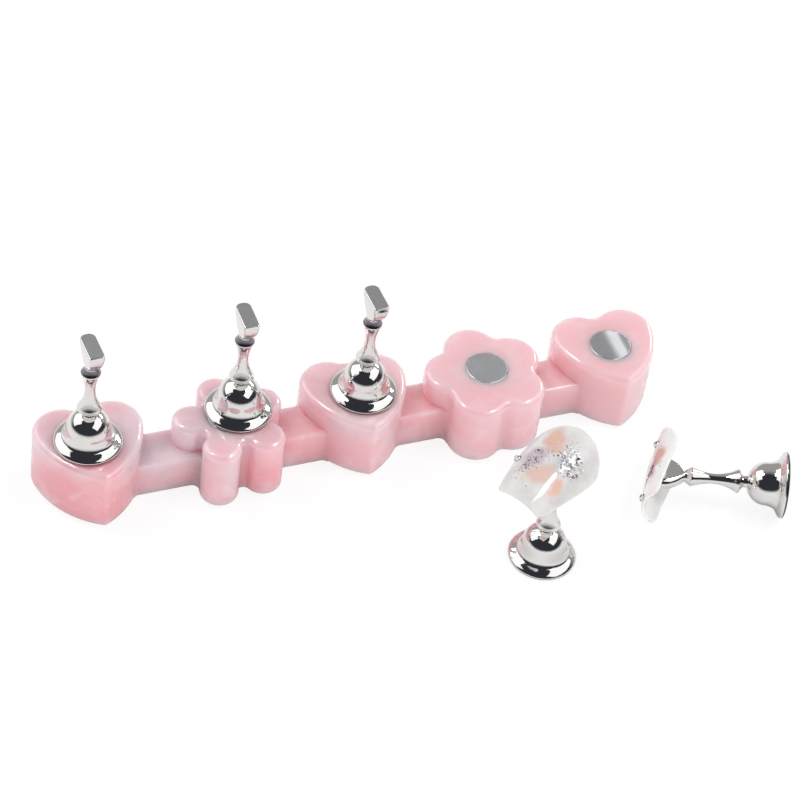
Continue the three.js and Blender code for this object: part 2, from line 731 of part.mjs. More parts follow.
// The dab of putty sits on the head's seat, and its top follows the hollow of the nail over it.
function puttyShape(nail) {
  const placement = nailPlacement(nail);
  const toNail = placement.clone().invert();
  const onNail = (point) => {
    const local = point.clone().applyMatrix4(toNail);
    const radius = nail.archRadius - NAIL_THICKNESS;
    const rise = Math.sqrt(radius ** 2 - local.y ** 2) - nail.archRadius;
    local.z = rise - nailBow(local.x) - PUTTY_CLEARANCE;
    return local.applyMatrix4(placement);
  };
  const outline = barArcs(PUTTY_WIDTH, PUTTY_LENGTH, PUTTY_WIDTH / 3);
  const foot = HOLDER_HEIGHT + PUTTY_CLEARANCE;
  const ring = (inset, z) => outlinePoints(outline, inset).map((p) => (
    new THREE.Vector3(p.x, p.y, z).applyAxisAngle(new THREE.Vector3(0, 0, 1), headTurnUnder(nail))
  ));
  const shoulder = ring(0, foot).map(onNail);
  for (const point of shoulder) {
    point.z -= PUTTY_EDGE_ROUND;
  }
  return loft([
    ring(PUTTY_EDGE_ROUND, foot),
    ring(0, foot + PUTTY_EDGE_ROUND),
    shoulder,
    ring(PUTTY_EDGE_ROUND, foot).map(onNail),
  ]);
}

// Assembly

// How each nail is shaped and how it sits on its head: the shift is in shares of the head's length, and the
// widest place is a share of the nail's length from its cuticle end.
const LARGE_NAIL = {
  length: LARGE_NAIL_LENGTH,
  width: LARGE_NAIL_WIDTH,
  edgeWidth: LARGE_NAIL_EDGE_WIDTH,
  archRadius: LARGE_NAIL_ARCH_RADIUS,
  cornerRadius: LARGE_NAIL_CORNER_RADIUS,
  puttyThickness: LARGE_NAIL_PUTTY_THICKNESS,
  widestShare: 0.28,
  cuticlePower: 2,
  shiftShares: [-0.302, -0.058],
  turnDeg: 212.8,
  pitchDeg: 6.5,
  rollDeg: -5.2,
};
const SMALL_NAIL = {
  length: SMALL_NAIL_LENGTH,
  width: SMALL_NAIL_WIDTH,
  edgeWidth: SMALL_NAIL_EDGE_WIDTH,
  archRadius: SMALL_NAIL_ARCH_RADIUS,
  cornerRadius: SMALL_NAIL_CORNER_RADIUS,
  puttyThickness: SMALL_NAIL_PUTTY_THICKNESS,
  widestShare: 0.362,
  cuticlePower: 2.7,
  shiftShares: [-0.057, -0.057],
  turnDeg: 84,
  pitchDeg: -11.3,
  rollDeg: 3.8,
};

// Stones: share of the length from the middle, and share of the arch's angle.
const LARGE_NAIL_STONE_SHARES = { a: [-0.188, 0.36], b: [0.088, -0.9] };
const SMALL_NAIL_STONE_SHARES = { a: [-0.23, 0.375], b: [0.44, 0.22] };

// Docked holders stand a little off the middle of their pads, by shares of the flange's radius.
const DOCKED = [
  { shiftShares: [-0.16, -0.01], headTurnDeg: 3 },
  { shiftShares: [0.35, 0.16], headTurnDeg: 0 },
  { shiftShares: [0.11, -0.02], headTurnDeg: 2 },
];

// Loose holders are placed in front of the strip, at shares of the pitch.
const STANDING_PLACE_SHARES = [0.949, -1.4175];
const LYING_PLACE_SHARES = [2.8446, -1.4336];
const LYING_HEADING_DEG = 156.85;

function holderWithNail(number, nail, stoneShares) {
  const group = holder(number, headTurnUnder(nail));
  const onHead = new THREE.Group();
  onHead.applyMatrix4(nailPlacement(nail));
  onHead.add(meshOf(`false_nail_${number}`, nailShell(nail), NAIL_GEL));
  for (const [letter, shares] of Object.entries(stoneShares)) {
    onHead.add(stone(`rhinestone_${number}${letter}`, nail, shares));
  }
  group.add(onHead, meshOf(`putty_${number}`, puttyShape(nail), PUTTY));
  return group;
}

function lowestPoint(object) {
  return new THREE.Box3().setFromObject(object, true).min.z;
}

// A lying holder rests on its flange's rim and on the edge of its nail, so its axis rises or dips until
// both reach equally low. The group is then set down on the table.
function layDown(group, nail) {
  const restSteps = 24;
  const rest = { low: -Math.PI / 8, high: Math.PI / 8 };
  for (let i = 0; i < restSteps; i++) {
    const rise = (rest.low + rest.high) / 2;
    group.rotation.set(0, Math.PI / 2 - rise, degrees(LYING_HEADING_DEG), "ZYX");
    group.updateMatrixWorld(true);
    const nailIsHigher = lowestPoint(nail) > lowestPoint(group);
    rest[nailIsHigher ? "high" : "low"] = rise;
  }
  group.position.z -= lowestPoint(group);
}

const stand = new THREE.Group();
stand.add(resinBase(), ...padDiscs());

DOCKED.forEach(({ shiftShares, headTurnDeg }, i) => {
  const docked = holder(i + 1, degrees(headTurnDeg));
  const [shiftX, shiftY] = shiftShares.map((share) => share * FLANGE_DIAMETER / 2);
  docked.position.set(PADS[i].x + shiftX, shiftY, PAD_HEIGHT);
  stand.add(docked);
});

const standing = holderWithNail(4, LARGE_NAIL, LARGE_NAIL_STONE_SHARES);
const [standingX, standingY] = STANDING_PLACE_SHARES.map((share) => share * PAD_PITCH);
standing.position.set(standingX, standingY, 0);
stand.add(standing);

const lying = holderWithNail(5, SMALL_NAIL, SMALL_NAIL_STONE_SHARES);
const [lyingX, lyingY] = LYING_PLACE_SHARES.map((share) => share * PAD_PITCH);
lying.position.set(lyingX, lyingY, 0);
layDown(lying, lying.getObjectByName("false_nail_5"));
stand.add(lying);

export default stand;
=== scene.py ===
"""Looks of the nail practice stand: a cast resin strip of heart and flower pads with steel discs, five
chromed tip holders with magnetic feet, and two decorated false nails. Shapes are worked out in
millimetres and stored in metres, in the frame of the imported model."""

import json
import math
import random

import bpy
from mathutils import Euler, Matrix, Vector


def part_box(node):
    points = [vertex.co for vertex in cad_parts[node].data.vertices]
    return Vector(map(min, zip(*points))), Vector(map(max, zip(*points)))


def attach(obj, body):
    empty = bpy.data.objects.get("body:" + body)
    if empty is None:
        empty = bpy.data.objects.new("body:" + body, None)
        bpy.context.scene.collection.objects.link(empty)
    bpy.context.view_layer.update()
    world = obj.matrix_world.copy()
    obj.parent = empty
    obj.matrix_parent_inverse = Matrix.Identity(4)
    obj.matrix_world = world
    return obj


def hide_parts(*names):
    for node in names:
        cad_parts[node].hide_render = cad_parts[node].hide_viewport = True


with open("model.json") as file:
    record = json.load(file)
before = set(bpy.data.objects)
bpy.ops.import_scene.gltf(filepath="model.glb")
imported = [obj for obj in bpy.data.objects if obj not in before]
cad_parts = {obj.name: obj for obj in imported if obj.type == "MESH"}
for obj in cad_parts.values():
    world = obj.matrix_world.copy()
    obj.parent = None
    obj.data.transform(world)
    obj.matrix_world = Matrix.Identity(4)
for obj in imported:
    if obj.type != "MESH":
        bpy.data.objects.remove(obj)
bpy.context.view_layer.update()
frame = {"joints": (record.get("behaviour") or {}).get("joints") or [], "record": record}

MM = 0.001

# Resin strip
PAD_PITCH = 32.4
PAD_HEIGHT = 16.5
PAD_TOP_ROUND = 1.5
PAD_BOTTOM_ROUND = 1.4
BAR_WIDTH = 10.25
BAR_HEIGHT = 10.0
BAR_EDGE_ROUND = 0.7
BAR_CORNER_RADIUS = BAR_WIDTH / 4
JOIN_ROUND = 1.6

HEART_LOBE_RADIUS = 7.2
HEART_LOBE_SPACING = 11.5
HEART_LOBE_Y = 4.86
HEART_NOTCH_RADIUS = 3.8
HEART_TIP_RADIUS = 1.65
HEART_TIP_REACH = 12.5
HEART_SIDE_RADIUS = 22.0

SLIM_PETAL_RADIUS = 4.6
SLIM_PETAL_DISTANCE = 9.35
SLIM_NOTCH_RADIUS = 1.25
PLUMP_PETAL_RADIUS = 6.8
PLUMP_PETAL_DISTANCE = 8.25
PLUMP_NOTCH_RADIUS = 2.3
PETAL_COUNT = 5
FLOWER_TURN_DEG = 95.5
SLIM_SHIFT_SHARES = (0.0624, -0.0797)
PLUMP_SHIFT_SHARES = (-0.0314, -0.0903)

DISC_DIAMETER = 10.0
DISC_THICKNESS = 1.5
DISC_CHAMFER = 0.2
DISC_CLEARANCE = 0.12

# Tip holder
HOLDER_HEIGHT = 30.7
FLANGE_DIAMETER = 16.0
FLANGE_RIM_HEIGHT = 0.5
FLARE_DIAMETER = 12.6
FLARE_HEIGHT = 1.85
BELL_DIAMETER = 10.4
BELL_SHOULDER_HEIGHT = 4.6
BELL_HEIGHT = 9.3
NECK_DIAMETER = 2.8
LOWER_COLLAR_DIAMETER = 5.8
LOWER_COLLAR_HEIGHT = 11.2
COLLAR_LAND = 0.25
STEM_DIAMETER = 2.5
STEM_WAIST_HEIGHT = 17.3
UPPER_COLLAR_DIAMETER = 4.6
UPPER_COLLAR_HEIGHT = 22.4
HEAD_ROOT_RISE = 1.8
HEAD_ROOT_HEIGHT = UPPER_COLLAR_HEIGHT + HEAD_ROOT_RISE
HEAD_LENGTH = 8.2
HEAD_WIDTH = 3.7
HEAD_WALL_HEIGHT = 1.1
HEAD_TOE_RADIUS = 1.6
HEAD_HEEL_RADIUS = 0.6
HEAD_EDGE_ROUND = 0.3
MAGNET_DIAMETER = 8.0
MAGNET_THICKNESS = 3.0
MAGNET_CHAMFER = 0.25
MAGNET_CLEARANCE = 0.2
MAGNET_RECESS = 0.2
MAGNET_GLUE = 0.2
FOOT_HOLLOW_DIAMETER = 12.4
FOOT_HOLLOW_DEPTH = 0.6
DOCKED_HEAD_TURN_DEG = {1: 3, 2: 0, 3: 2}

# Materials of a casting, in the order of its slots. The rim and recess slots hold darker chrome, which is
# painted shade.
PLATE_SLOT, SEAT_SLOT, RIM_SHADE_SLOT, RECESS_SHADE_SLOT = range(4)

# False nails, putty and stones. The gaps are those of the dressed pieces, narrower than the solids'.
NAIL_THICKNESS = 0.7
NAIL_BOW_RADIUS = 75.0
NAIL_UV = "nail"
WELD_DISTANCE = 0.002
PUTTY_LENGTH = 6.4
PUTTY_WIDTH = 3.0
PUTTY_CORNER_RADIUS = PUTTY_WIDTH / 3
PUTTY_EDGE_ROUND = 0.12
PUTTY_CLEARANCE = 0.15
PUTTY_GAP = PUTTY_CLEARANCE / 3
STONE_DIAMETER = 1.9
STONE_HEIGHT = 0.8
STONE_GLUE = 0.1
STONE_GAP = STONE_GLUE / 3
STONE_SIDES = 8
FLAKE_THICKNESS = 0.04

LARGE_NAIL = {
    "number": 4,
    "length": 25.2,
    "width": 17.5,
    "edge_width": 11.8,
    "arch_radius": 9.5,
    "corner_radius": 1.2,
    "putty_thickness": 1.25,
    "widest_share": 0.28,
    "cuticle_power": 2.0,
    "shift_shares": (-0.302, -0.058),
    "turn_deg": 212.8,
    "pitch_deg": 6.5,
    "roll_deg": -5.2,
    "stone_shares": {"a": (-0.188, 0.36), "b": (0.088, -0.9)},
}
SMALL_NAIL = {
    "number": 5,
    "length": 22.4,
    "width": 15.3,
    "edge_width": 13.0,
    "arch_radius": 8.0,
    "corner_radius": 1.8,
    "putty_thickness": 1.2,
    "widest_share": 0.362,
    "cuticle_power": 2.7,
    "shift_shares": (-0.057, -0.057),
    "turn_deg": 84,
    "pitch_deg": -11.3,
    "roll_deg": 3.8,
    "stone_shares": {"a": (-0.23, 0.375), "b": (0.44, 0.22)},
}

# Rings of a stone: shares of its radius and height, and a turn as a share of one side
STONE_RING_SHARES = ((1.0, 0.0, 0), (1.0, 0.22, 0), (0.86, 0.55, 0.5), (0.52, 1.0, 0))

# Which of a stone's facets carry a painted dark reflection, in rows from the girdle up to the table
PAINTED_DARK_FACETS = (
    (0, 0, 1, 0, 0, 0, 1, 0),
    (0, 0, 1, 0, 1, 0, 0, 1),
    (0, 1, 0, 0, 0, 1, 1, 0),
    (0, 0, 0, 0, 1, 1, 1, 0),
)

# Pours in the resin: middle x, y, z, reach, and how much they add to the salmon tone or take from it
POURS = (
    (-70, -6, 5, 8.5, 0.6),
    (-73, 0, 7, 6.0, 0.4),
    (-60, -8, 4, 6.0, 0.45),
    (-64.8, -10, 15, 4.0, 0.5),
    (-59, -4, 9, 4.0, 0.2),
    (-48.6, 0, 8, 9.0, -0.5),
    (-34, -11, 9, 5.0, -0.35),
    (-25, -9, 7, 6.0, 0.65),
    (-16, -3, 5, 7.0, 0.3),
    (-6, -6, 4, 6.0, 0.3),
    (-4, 4, 16, 6.0, 0.25),
    (16, -3, 6, 7.5, 0.2),
    (26, -7, 4, 6.0, 0.25),
    (31, -9, 16, 5.0, 0.4),
    (37, -4, 9, 5.0, -0.2),
    (58, -4, 4, 5.0, 0.25),
    (67, -3, 16, 8.0, 0.45),
)
POUR_CORE_SHARE = 0.2
POUR_EDGE_SHARE = 1.7

# Disc 5 is bent: shares of its radius across it where the bend starts, peaks, eases and ends, the lean at
# the peak, and how much of it is left past the end
BEND_SHARES = (-0.35, 0.4, 0.5, 0.8)
BEND_LEAN = (0.28, -0.28, 0.0)
BEND_LEFT_SHARE = 0.25

# Steps along rounded edges and curves
ROUND_STEPS = 10
CURVE_STEPS = 22
QUARTER_STEPS = 24
CORNER_STEPS = 6
CHAMFER_STEPS = 5
LAND_STEPS = 4
WEB_STEPS = 14
NAIL_ROWS = 84
NAIL_COLUMNS = 60

# Folds steeper than these angles stay crisp
RESIN_SHARP_DEG = 40
DISC_SHARP_DEG = 40
CASTING_SHARP_DEG = 38
PUTTY_SHARP_DEG = 35

# Camera: where the photograph was taken from, in millimetres and degrees
CAMERA_TARGET = (12.0, 2.43, 8.0)
CAMERA_DISTANCE = 686.5
CAMERA_AZIMUTH_DEG = 25.96
CAMERA_ELEVATION_DEG = 45.37
CAMERA_ROLL_DEG = 8.62
CAMERA_LENS_MM = 128.89
CAMERA_SENSOR_MM = 36.0
CAMERA_CLIP_START = 10.0

# Which way the grey backdrop lies, in degrees from +X
BACKDROP_AZIMUTH_DEG = 75.0

# Lamps: name, azimuth and elevation in degrees, distance, width and height in metres, and power in watts
LAMPS = (
    ("softbox_left", 142, 39, 1.0, 1.0, 0.74, 2.88),
    ("softbox_right", -28, 50, 1.0, 1.22, 0.6, 2.83),
    ("bulb_left", 140, 63, 0.98, 0.24, 0.18, 1.6),
    ("bulb_right", -19, 63, 0.98, 0.26, 0.14, 1.35),
    ("bulb_edge", 30, 27, 0.98, 0.26, 0.12, 1.2),
)


# Colours and node trees


def srgb(red, green, blue):
    """Linear colour with alpha from display values of 0 to 255."""
    def linear(value):
        share = value / 255
        return share / 12.92 if share <= 0.04045 else ((share + 0.055) / 1.055) ** 2.4
    return (linear(red), linear(green), linear(blue), 1.0)


def grey(level):
    return (level, level, level, 1.0)


class Graph:
    """The node tree of a material or of the world. A socket is set to a value, or joined to the output of
    another node. Most methods add one node and return its output."""

    def __init__(self, owner):
        owner.use_nodes = True
        self.owner = owner
        self.nodes = owner.node_tree.nodes
        self.links = owner.node_tree.links

    def fill(self, node, sockets):
        for name, value in sockets.items():
            if isinstance(value, bpy.types.NodeSocket):
                self.links.new(value, node.inputs[name])
            else:
                node.inputs[name].default_value = value

    def add(self, kind, sockets=(), **settings):
        """A new node, with its settings made before its sockets are filled."""
        node = self.nodes.new(f"ShaderNode{kind}")
        for name, value in settings.items():
            setattr(node, name, value)
        self.fill(node, dict(sockets))
        return node

    def coordinates(self):
        return self.add("TexCoord").outputs["Object"]

    def axes(self, vector):
        return self.add("SeparateXYZ", {"Vector": vector}).outputs

    def noise(self, place, scale, detail, roughness, distortion=0.0):
        sockets = {"Vector": place, "Scale": scale, "Detail": detail, "Roughness": roughness}
        return self.add("TexNoise", {**sockets, "Distortion": distortion}).outputs["Fac"]

    def ramp(self, source, stops):
        node = self.add("ValToRGB", {"Fac": source})
        elements = node.color_ramp.elements
        for element, (position, colour) in zip(elements, stops):
            element.position = position
            element.color = colour
        for position, colour in stops[len(elements):]:
            elements.new(position).color = colour
        return node.outputs["Color"]

    def remap(self, source, old, new, smooth=True):
        """The source with its old range stretched to the new one, and held at its ends."""
        sockets = {"From Min": old[0], "From Max": old[1], "To Min": new[0], "To Max": new[1]}
        form = "SMOOTHSTEP" if smooth else "LINEAR"
        return self.add("MapRange", {"Value": source, **sockets}, interpolation_type=form).outputs["Result"]

    def calculate(self, operation, first, second):
        return self.add("Math", {0: first, 1: second}, operation=operation).outputs["Value"]

    def vectors(self, operation, sockets, output="Vector"):
        return self.add("VectorMath", sockets, operation=operation).outputs[output]

    def mix(self, factor, first, second):
        sockets = {"Factor": factor, "A": first, "B": second}
        return self.add("Mix", sockets, data_type="RGBA").outputs["Result"]

    def bump(self, height, strength, distance):
        sockets = {"Height": height, "Strength": strength, "Distance": distance}
        return self.add("Bump", sockets).outputs["Normal"]

    def surface(self, sockets):
        """Fills the shader that a new material starts with, and returns the material."""
        self.fill(self.nodes["Principled BSDF"], sockets)
        return self.owner

    def metal(self, colour, roughness, normal):
        return self.surface({
            "Base Color": colour, "Metallic": 1.0, "Roughness": roughness, "Normal": normal,
        })


def material_graph(name):
    return Graph(bpy.data.materials.new(name))


# Materials. Noise scales count per metre, and depths are in metres.

CHROME = srgb(226, 224, 222)
# Darker chromes that paint shade and dark reflection onto the flange's rim and into the recess over a docked
# collar
RIM_SHADE_CHROME = srgb(72, 72, 78)
RECESS_SHADE_CHROME = srgb(128, 125, 130)


def resin_material():
    """Cloudy cast resin: pale lilac pink with salmon poured through it, glossy and translucent. Its tone by
    height is painted light: more salmon on the walls, paler on the tops and at the foot.
    """
    graph = material_graph("cast_resin")
    place = graph.coordinates()
    axes = graph.axes(place)
    # Painted light: deeper salmon low on the walls and paler lilac on the tops, standing in for floor light
    # passing up through the body
    salmon = graph.remap(axes["Z"], (3 * MM, 17 * MM), (0.66, 0.26))
    for x, y, z, reach, strength in POURS:
        away = graph.vectors("DISTANCE", {0: place, 1: (x * MM, y * MM, z * MM)}, "Value")
        core, edge = POUR_CORE_SHARE * reach * MM, POUR_EDGE_SHARE * reach * MM
        salmon = graph.calculate("ADD", salmon, graph.remap(away, (core, edge), (strength, 0)))
    # Painted light: paler towards the foot, where light from the floor shines through
    foot = graph.remap(axes["Z"], (0, 4 * MM), (-0.2, 0))
    salmon = graph.calculate("ADD", salmon, foot)
    drift = graph.noise(place, scale=80, detail=2.0, roughness=0.5)
    waver = graph.remap(drift, (0.3, 0.7), (-0.2, 0.2), smooth=False)
    salmon = graph.calculate("ADD", salmon, waver)
    tone = graph.ramp(salmon, [
        (0.0, srgb(219, 200, 208)),
        (0.5, srgb(235, 179, 187)),
        (1.0, srgb(235, 156, 165)),
    ])
    warmth = graph.remap(axes["X"], (-70 * MM, 60 * MM), (0, 0.72))
    warmed = graph.mix(warmth, tone, srgb(245, 196, 201))
    cloud = graph.noise(place, scale=120, detail=4.0, roughness=0.55, distortion=0.8)
    milk = graph.remap(cloud, (0.45, 0.7), (0, 0.4))
    swell = graph.noise(place, scale=90, detail=2.0, roughness=0.5)
    return graph.surface({
        "Base Color": graph.mix(milk, warmed, srgb(243, 216, 221)),
        "Roughness": 0.3,
        "Specular IOR Level": 0.25,
        "Subsurface Weight": 1.0,
        "Subsurface Radius": (1.0, 0.7, 0.7),
        "Subsurface Scale": 8 * MM,
        "Coat Weight": 1.0,
        "Coat Roughness": 0.03,
        "Coat IOR": 1.85,
        "Normal": graph.bump(swell, strength=0.1, distance=0.6 * MM),
    })


def chrome_material(name, roughness, skin_scale, skin_strength, colour=CHROME):
    """Chrome plate over a casting, whose skin wavers a little under the shine."""
    graph = material_graph(name)
    place = graph.coordinates()
    haze = graph.noise(place, scale=900, detail=3.0, roughness=0.6)
    skin = graph.noise(place, scale=skin_scale, detail=5.0, roughness=0.6)
    dulled = graph.remap(haze, (0.35, 0.75), (roughness, 2.2 * roughness), smooth=False)
    return graph.metal(colour, dulled, graph.bump(skin, skin_strength, distance=0.2 * MM))


def seat_material():
    """The flat of a head, ground and plated, so it shines dully."""
    graph = material_graph("head_seat")
    grain = graph.noise(graph.coordinates(), scale=2600, detail=4.0, roughness=0.7)
    tone = graph.ramp(grain, [(0.3, srgb(172, 173, 175)), (0.7, srgb(190, 191, 193))])
    return graph.metal(tone, 0.42, graph.bump(grain, strength=0.25, distance=0.1 * MM))


def disc_material():
    """Satin nickel plate."""
    graph = material_graph("disc_nickel")
    place = graph.coordinates()
    grain = graph.noise(place, scale=2400, detail=3.0, roughness=0.6)
    patch = graph.noise(place, scale=160, detail=2.0, roughness=0.5)
    tone = graph.ramp(patch, [(0.3, srgb(214, 216, 221)), (0.7, srgb(226, 228, 232))])
    satin = graph.remap(grain, (0.3, 0.7), (0.27, 0.31), smooth=False)
    return graph.metal(tone, satin, graph.bump(grain, strength=0.04, distance=0.1 * MM))


def bent_disc_material(middle_x):
    """A plate bent across its right half, so that it catches the right softbox."""
    graph = material_graph("bent_disc_nickel")
    across = graph.axes(graph.coordinates())["X"]
    radius = DISC_DIAMETER / 2
    start, peak, ease, end = ((middle_x + share * radius) * MM for share in BEND_SHARES)
    rising = graph.remap(across, (start, peak), (0, 1))
    falling = graph.remap(across, (ease, end), (1, BEND_LEFT_SHARE))
    bend = graph.calculate("MULTIPLY", rising, falling)
    lean = graph.vectors("SCALE", {0: BEND_LEAN, "Scale": bend})
    flat = graph.add("NewGeometry").outputs["Normal"]
    bent = graph.vectors("NORMALIZE", {0: graph.vectors("ADD", {0: flat, 1: lean})})
    return graph.metal(srgb(206, 208, 212), 0.26, bent)


def putty_material():
    graph = material_graph("tack_putty")
    lumps = graph.noise(graph.coordinates(), scale=700, detail=4.0, roughness=0.6)
    return graph.surface({
        "Base Color": graph.ramp(lumps, [(0.35, srgb(206, 210, 212)), (0.65, srgb(228, 231, 232))]),
        "Roughness": 0.62,
        "Subsurface Weight": 0.2,
        "Subsurface Scale": 0.8 * MM,
        "Normal": graph.bump(lumps, strength=0.5, distance=0.3 * MM),
    })


def crystal_material(name, colour, metallic):
    """One kind of facet of a clear stone over a mirror foil. The dark kind is a painted dark reflection."""
    return material_graph(name).surface({
        "Base Color": colour,
        "Metallic": metallic,
        "Roughness": 0.04,
        "Coat Weight": 1.0,
        "Coat Roughness": 0.02,
    })


def flake_material(name, colour, roughness, metallic):
    """Foil glitter, each flake a slightly different tone, and many of them dark: partly their own darker
    tone, partly a painted dark reflection.
    """
    red, green, blue, alpha = colour
    # Painted dark reflection, partly the flake's own darker tone: flakes that would mirror the dark room get
    # this tone
    dark = (red * 0.2, green * 0.2, blue * 0.22, alpha)
    graph = material_graph(name)
    shift = graph.noise(graph.coordinates(), scale=1500, detail=1.0, roughness=0.5)
    return graph.surface({
        "Base Color": graph.ramp(shift, [(0.42, dark), (0.5, colour)]),
        "Metallic": metallic,
        "Roughness": roughness,
        "Coat Weight": 0.6,
        "Coat Roughness": 0.05,
    })


def gel_material(name, milk_tones, blots):
    """Milky gel with soft tinted blots. Each blot is (along, across, reach, stretch, turn, colour), in
    millimetres and degrees on the nail, read from its UV map."""
    graph = material_graph(name)
    place = graph.coordinates()
    on_nail_uv = graph.add("UVMap", uv_map=NAIL_UV).outputs["UV"]
    milk = graph.noise(place, scale=260, detail=3.0, roughness=0.55)
    colour = graph.ramp(milk, [(0.3, milk_tones[0]), (0.7, milk_tones[1])])
    waver = graph.noise(on_nail_uv, scale=0.4, detail=1.0, roughness=0.5)
    wobble = graph.remap(waver, (0.3, 0.7), (-0.2, 0.2), smooth=False)
    for along, across, reach, stretch, turn_deg, tint in blots:
        local = graph.add("Mapping", {
            "Vector": on_nail_uv,
            "Location": (along, across, 0),
            "Rotation": (0, 0, math.radians(turn_deg)),
            "Scale": (reach * stretch, reach, 1),
        }, vector_type="TEXTURE").outputs["Vector"]
        edge = graph.calculate("ADD", graph.vectors("LENGTH", {0: local}, "Value"), wobble)
        colour = graph.mix(graph.remap(edge, (0.5, 1.22), (0.9, 0)), colour, tint)
    swell = graph.noise(place, scale=220, detail=1.5, roughness=0.5)
    return graph.surface({
        "Base Color": colour,
        "Roughness": 0.3,
        "Specular IOR Level": 0.2,
        "Subsurface Weight": 0.8,
        "Subsurface Radius": (1.0, 0.9, 0.85),
        "Subsurface Scale": 2.2 * MM,
        "Coat Weight": 1.0,
        "Coat Roughness": 0.03,
        "Normal": graph.bump(swell, strength=0.12, distance=0.3 * MM),
    })


# Mesh helpers. Points are vectors in millimetres.


def add_object(name, data):
    added = bpy.data.objects.new(name, data)
    bpy.context.scene.collection.objects.link(added)
    return added


def make_piece(name, points, faces, materials=(), sharp_deg=None, face_slots=None):
    mesh = bpy.data.meshes.new(name)
    mesh.from_pydata([tuple(point * MM) for point in points], [], faces)
    mesh.update()
    mesh.shade_smooth()
    piece = add_object(name, mesh)
    for material in materials:
        mesh.materials.append(material)
    if face_slots:
        mesh.polygons.foreach_set("material_index", face_slots)
    if sharp_deg is not None:
        finish_edges(piece, sharp_deg)
    return piece


def finish_edges(piece, sharp_deg):
    """Keeps folds steeper than the angle crisp, and large flats flat."""
    piece.data.shade_smooth()
    piece.data.set_sharp_from_angle(angle=math.radians(sharp_deg))
    weighted = piece.modifiers.new("flat_faces", "WEIGHTED_NORMAL")
    weighted.keep_sharp = True


def loft(rings):
    """Points and faces through rings of equal point count, counter-clockwise from +Z, bottom up."""
    count = len(rings[0])
    points = [point for ring in rings for point in ring]
    faces = [tuple(reversed(range(count)))]
    for level in range(len(rings) - 1):
        low = level * count
        for i in range(count):
            j = (i + 1) % count
            faces.append((low + i, low + j, low + count + j, low + count + i))
    top = (len(rings) - 1) * count
    faces.append(tuple(range(top, top + count)))
    return points, faces


def apply_modifiers(piece):
    evaluated = piece.evaluated_get(bpy.context.evaluated_depsgraph_get())
    mesh = bpy.data.meshes.new_from_object(evaluated)
    piece.modifiers.clear()
    old = piece.data
    piece.data = mesh
    bpy.data.meshes.remove(old)


def combine(target, tool, operation):
    """Joins tool to target, or cuts it out, and removes tool."""
    modifier = target.modifiers.new("combine", "BOOLEAN")
    modifier.operation = operation
    modifier.solver = "MANIFOLD"
    modifier.object = tool
    apply_modifiers(target)
    bpy.data.objects.remove(tool)


def weld(piece, distance):
    modifier = piece.modifiers.new("weld", "WELD")
    modifier.merge_threshold = distance * MM
    apply_modifiers(piece)


def placed(points, matrix):
    return [matrix @ point for point in points]


def polygon(radius, sides, z, turn=0):
    """Corners of a regular polygon, turned by a share of one side."""
    angles = (2 * math.pi * (i + turn) / sides for i in range(sides))
    return [Vector((radius * math.cos(angle), radius * math.sin(angle), z)) for angle in angles]


# Outlines made of arcs. A hollow arc bends inwards, so drawing the outline in makes its radius larger.


def arc(centre, radius, start, end, steps, hollow=False, meets_next=True):
    return {
        "centre": centre, "radius": radius, "start": start, "end": end,
        "steps": steps, "hollow": hollow, "meets_next": meets_next,
    }


def outline_points(arcs, inset, z):
    points = []
    for part in arcs:
        radius = part["radius"] + inset if part["hollow"] else part["radius"] - inset
        last = part["steps"] if part["meets_next"] else part["steps"] + 1
        for i in range(last):
            angle = part["start"] + (part["end"] - part["start"]) * i / part["steps"]
            x, y = part["centre"]
            points.append(Vector((x + radius * math.cos(angle), y + radius * math.sin(angle), z)))
    return points


def direction(start, end):
    return math.atan2(end[1] - start[1], end[0] - start[0])


def after(angle, start):
    return angle + 2 * math.pi if angle < start else angle


def heart_arcs():
    lobe = Vector((HEART_LOBE_SPACING / 2, HEART_LOBE_Y))
    tip = Vector((0, HEART_TIP_RADIUS - HEART_TIP_REACH))
    notch_reach = HEART_LOBE_RADIUS + HEART_NOTCH_RADIUS
    notch = Vector((0, lobe.y + math.sqrt(notch_reach ** 2 - lobe.x ** 2)))
    to_lobe = HEART_SIDE_RADIUS - HEART_LOBE_RADIUS
    to_tip = HEART_SIDE_RADIUS - HEART_TIP_RADIUS
    span = (tip - lobe).length
    along = (to_lobe ** 2 - to_tip ** 2 + span ** 2) / (2 * span)
    across = math.sqrt(to_lobe ** 2 - along ** 2)
    unit = (tip - lobe) / span
    side = Vector((lobe.x + along * unit.x + across * unit.y, lobe.y + along * unit.y - across * unit.x))
    tip_end = direction(side, tip)
    side_end = direction(side, lobe)
    lobe_end = after(direction(lobe, notch), side_end)
    notch_start = direction(notch, lobe)
    right = [
        arc(tip, HEART_TIP_RADIUS, -math.pi / 2, tip_end, steps=10),
        arc(side, HEART_SIDE_RADIUS, tip_end, side_end, steps=20),
        arc(lobe, HEART_LOBE_RADIUS, side_end, lobe_end, steps=48),
        arc(notch, HEART_NOTCH_RADIUS, notch_start, -math.pi / 2, steps=10, hollow=True),
    ]
    left = [
        dict(part, centre=(-part["centre"][0], part["centre"][1]),
             start=math.pi - part["end"], end=math.pi - part["start"])
        for part in reversed(right)
    ]
    return right + left


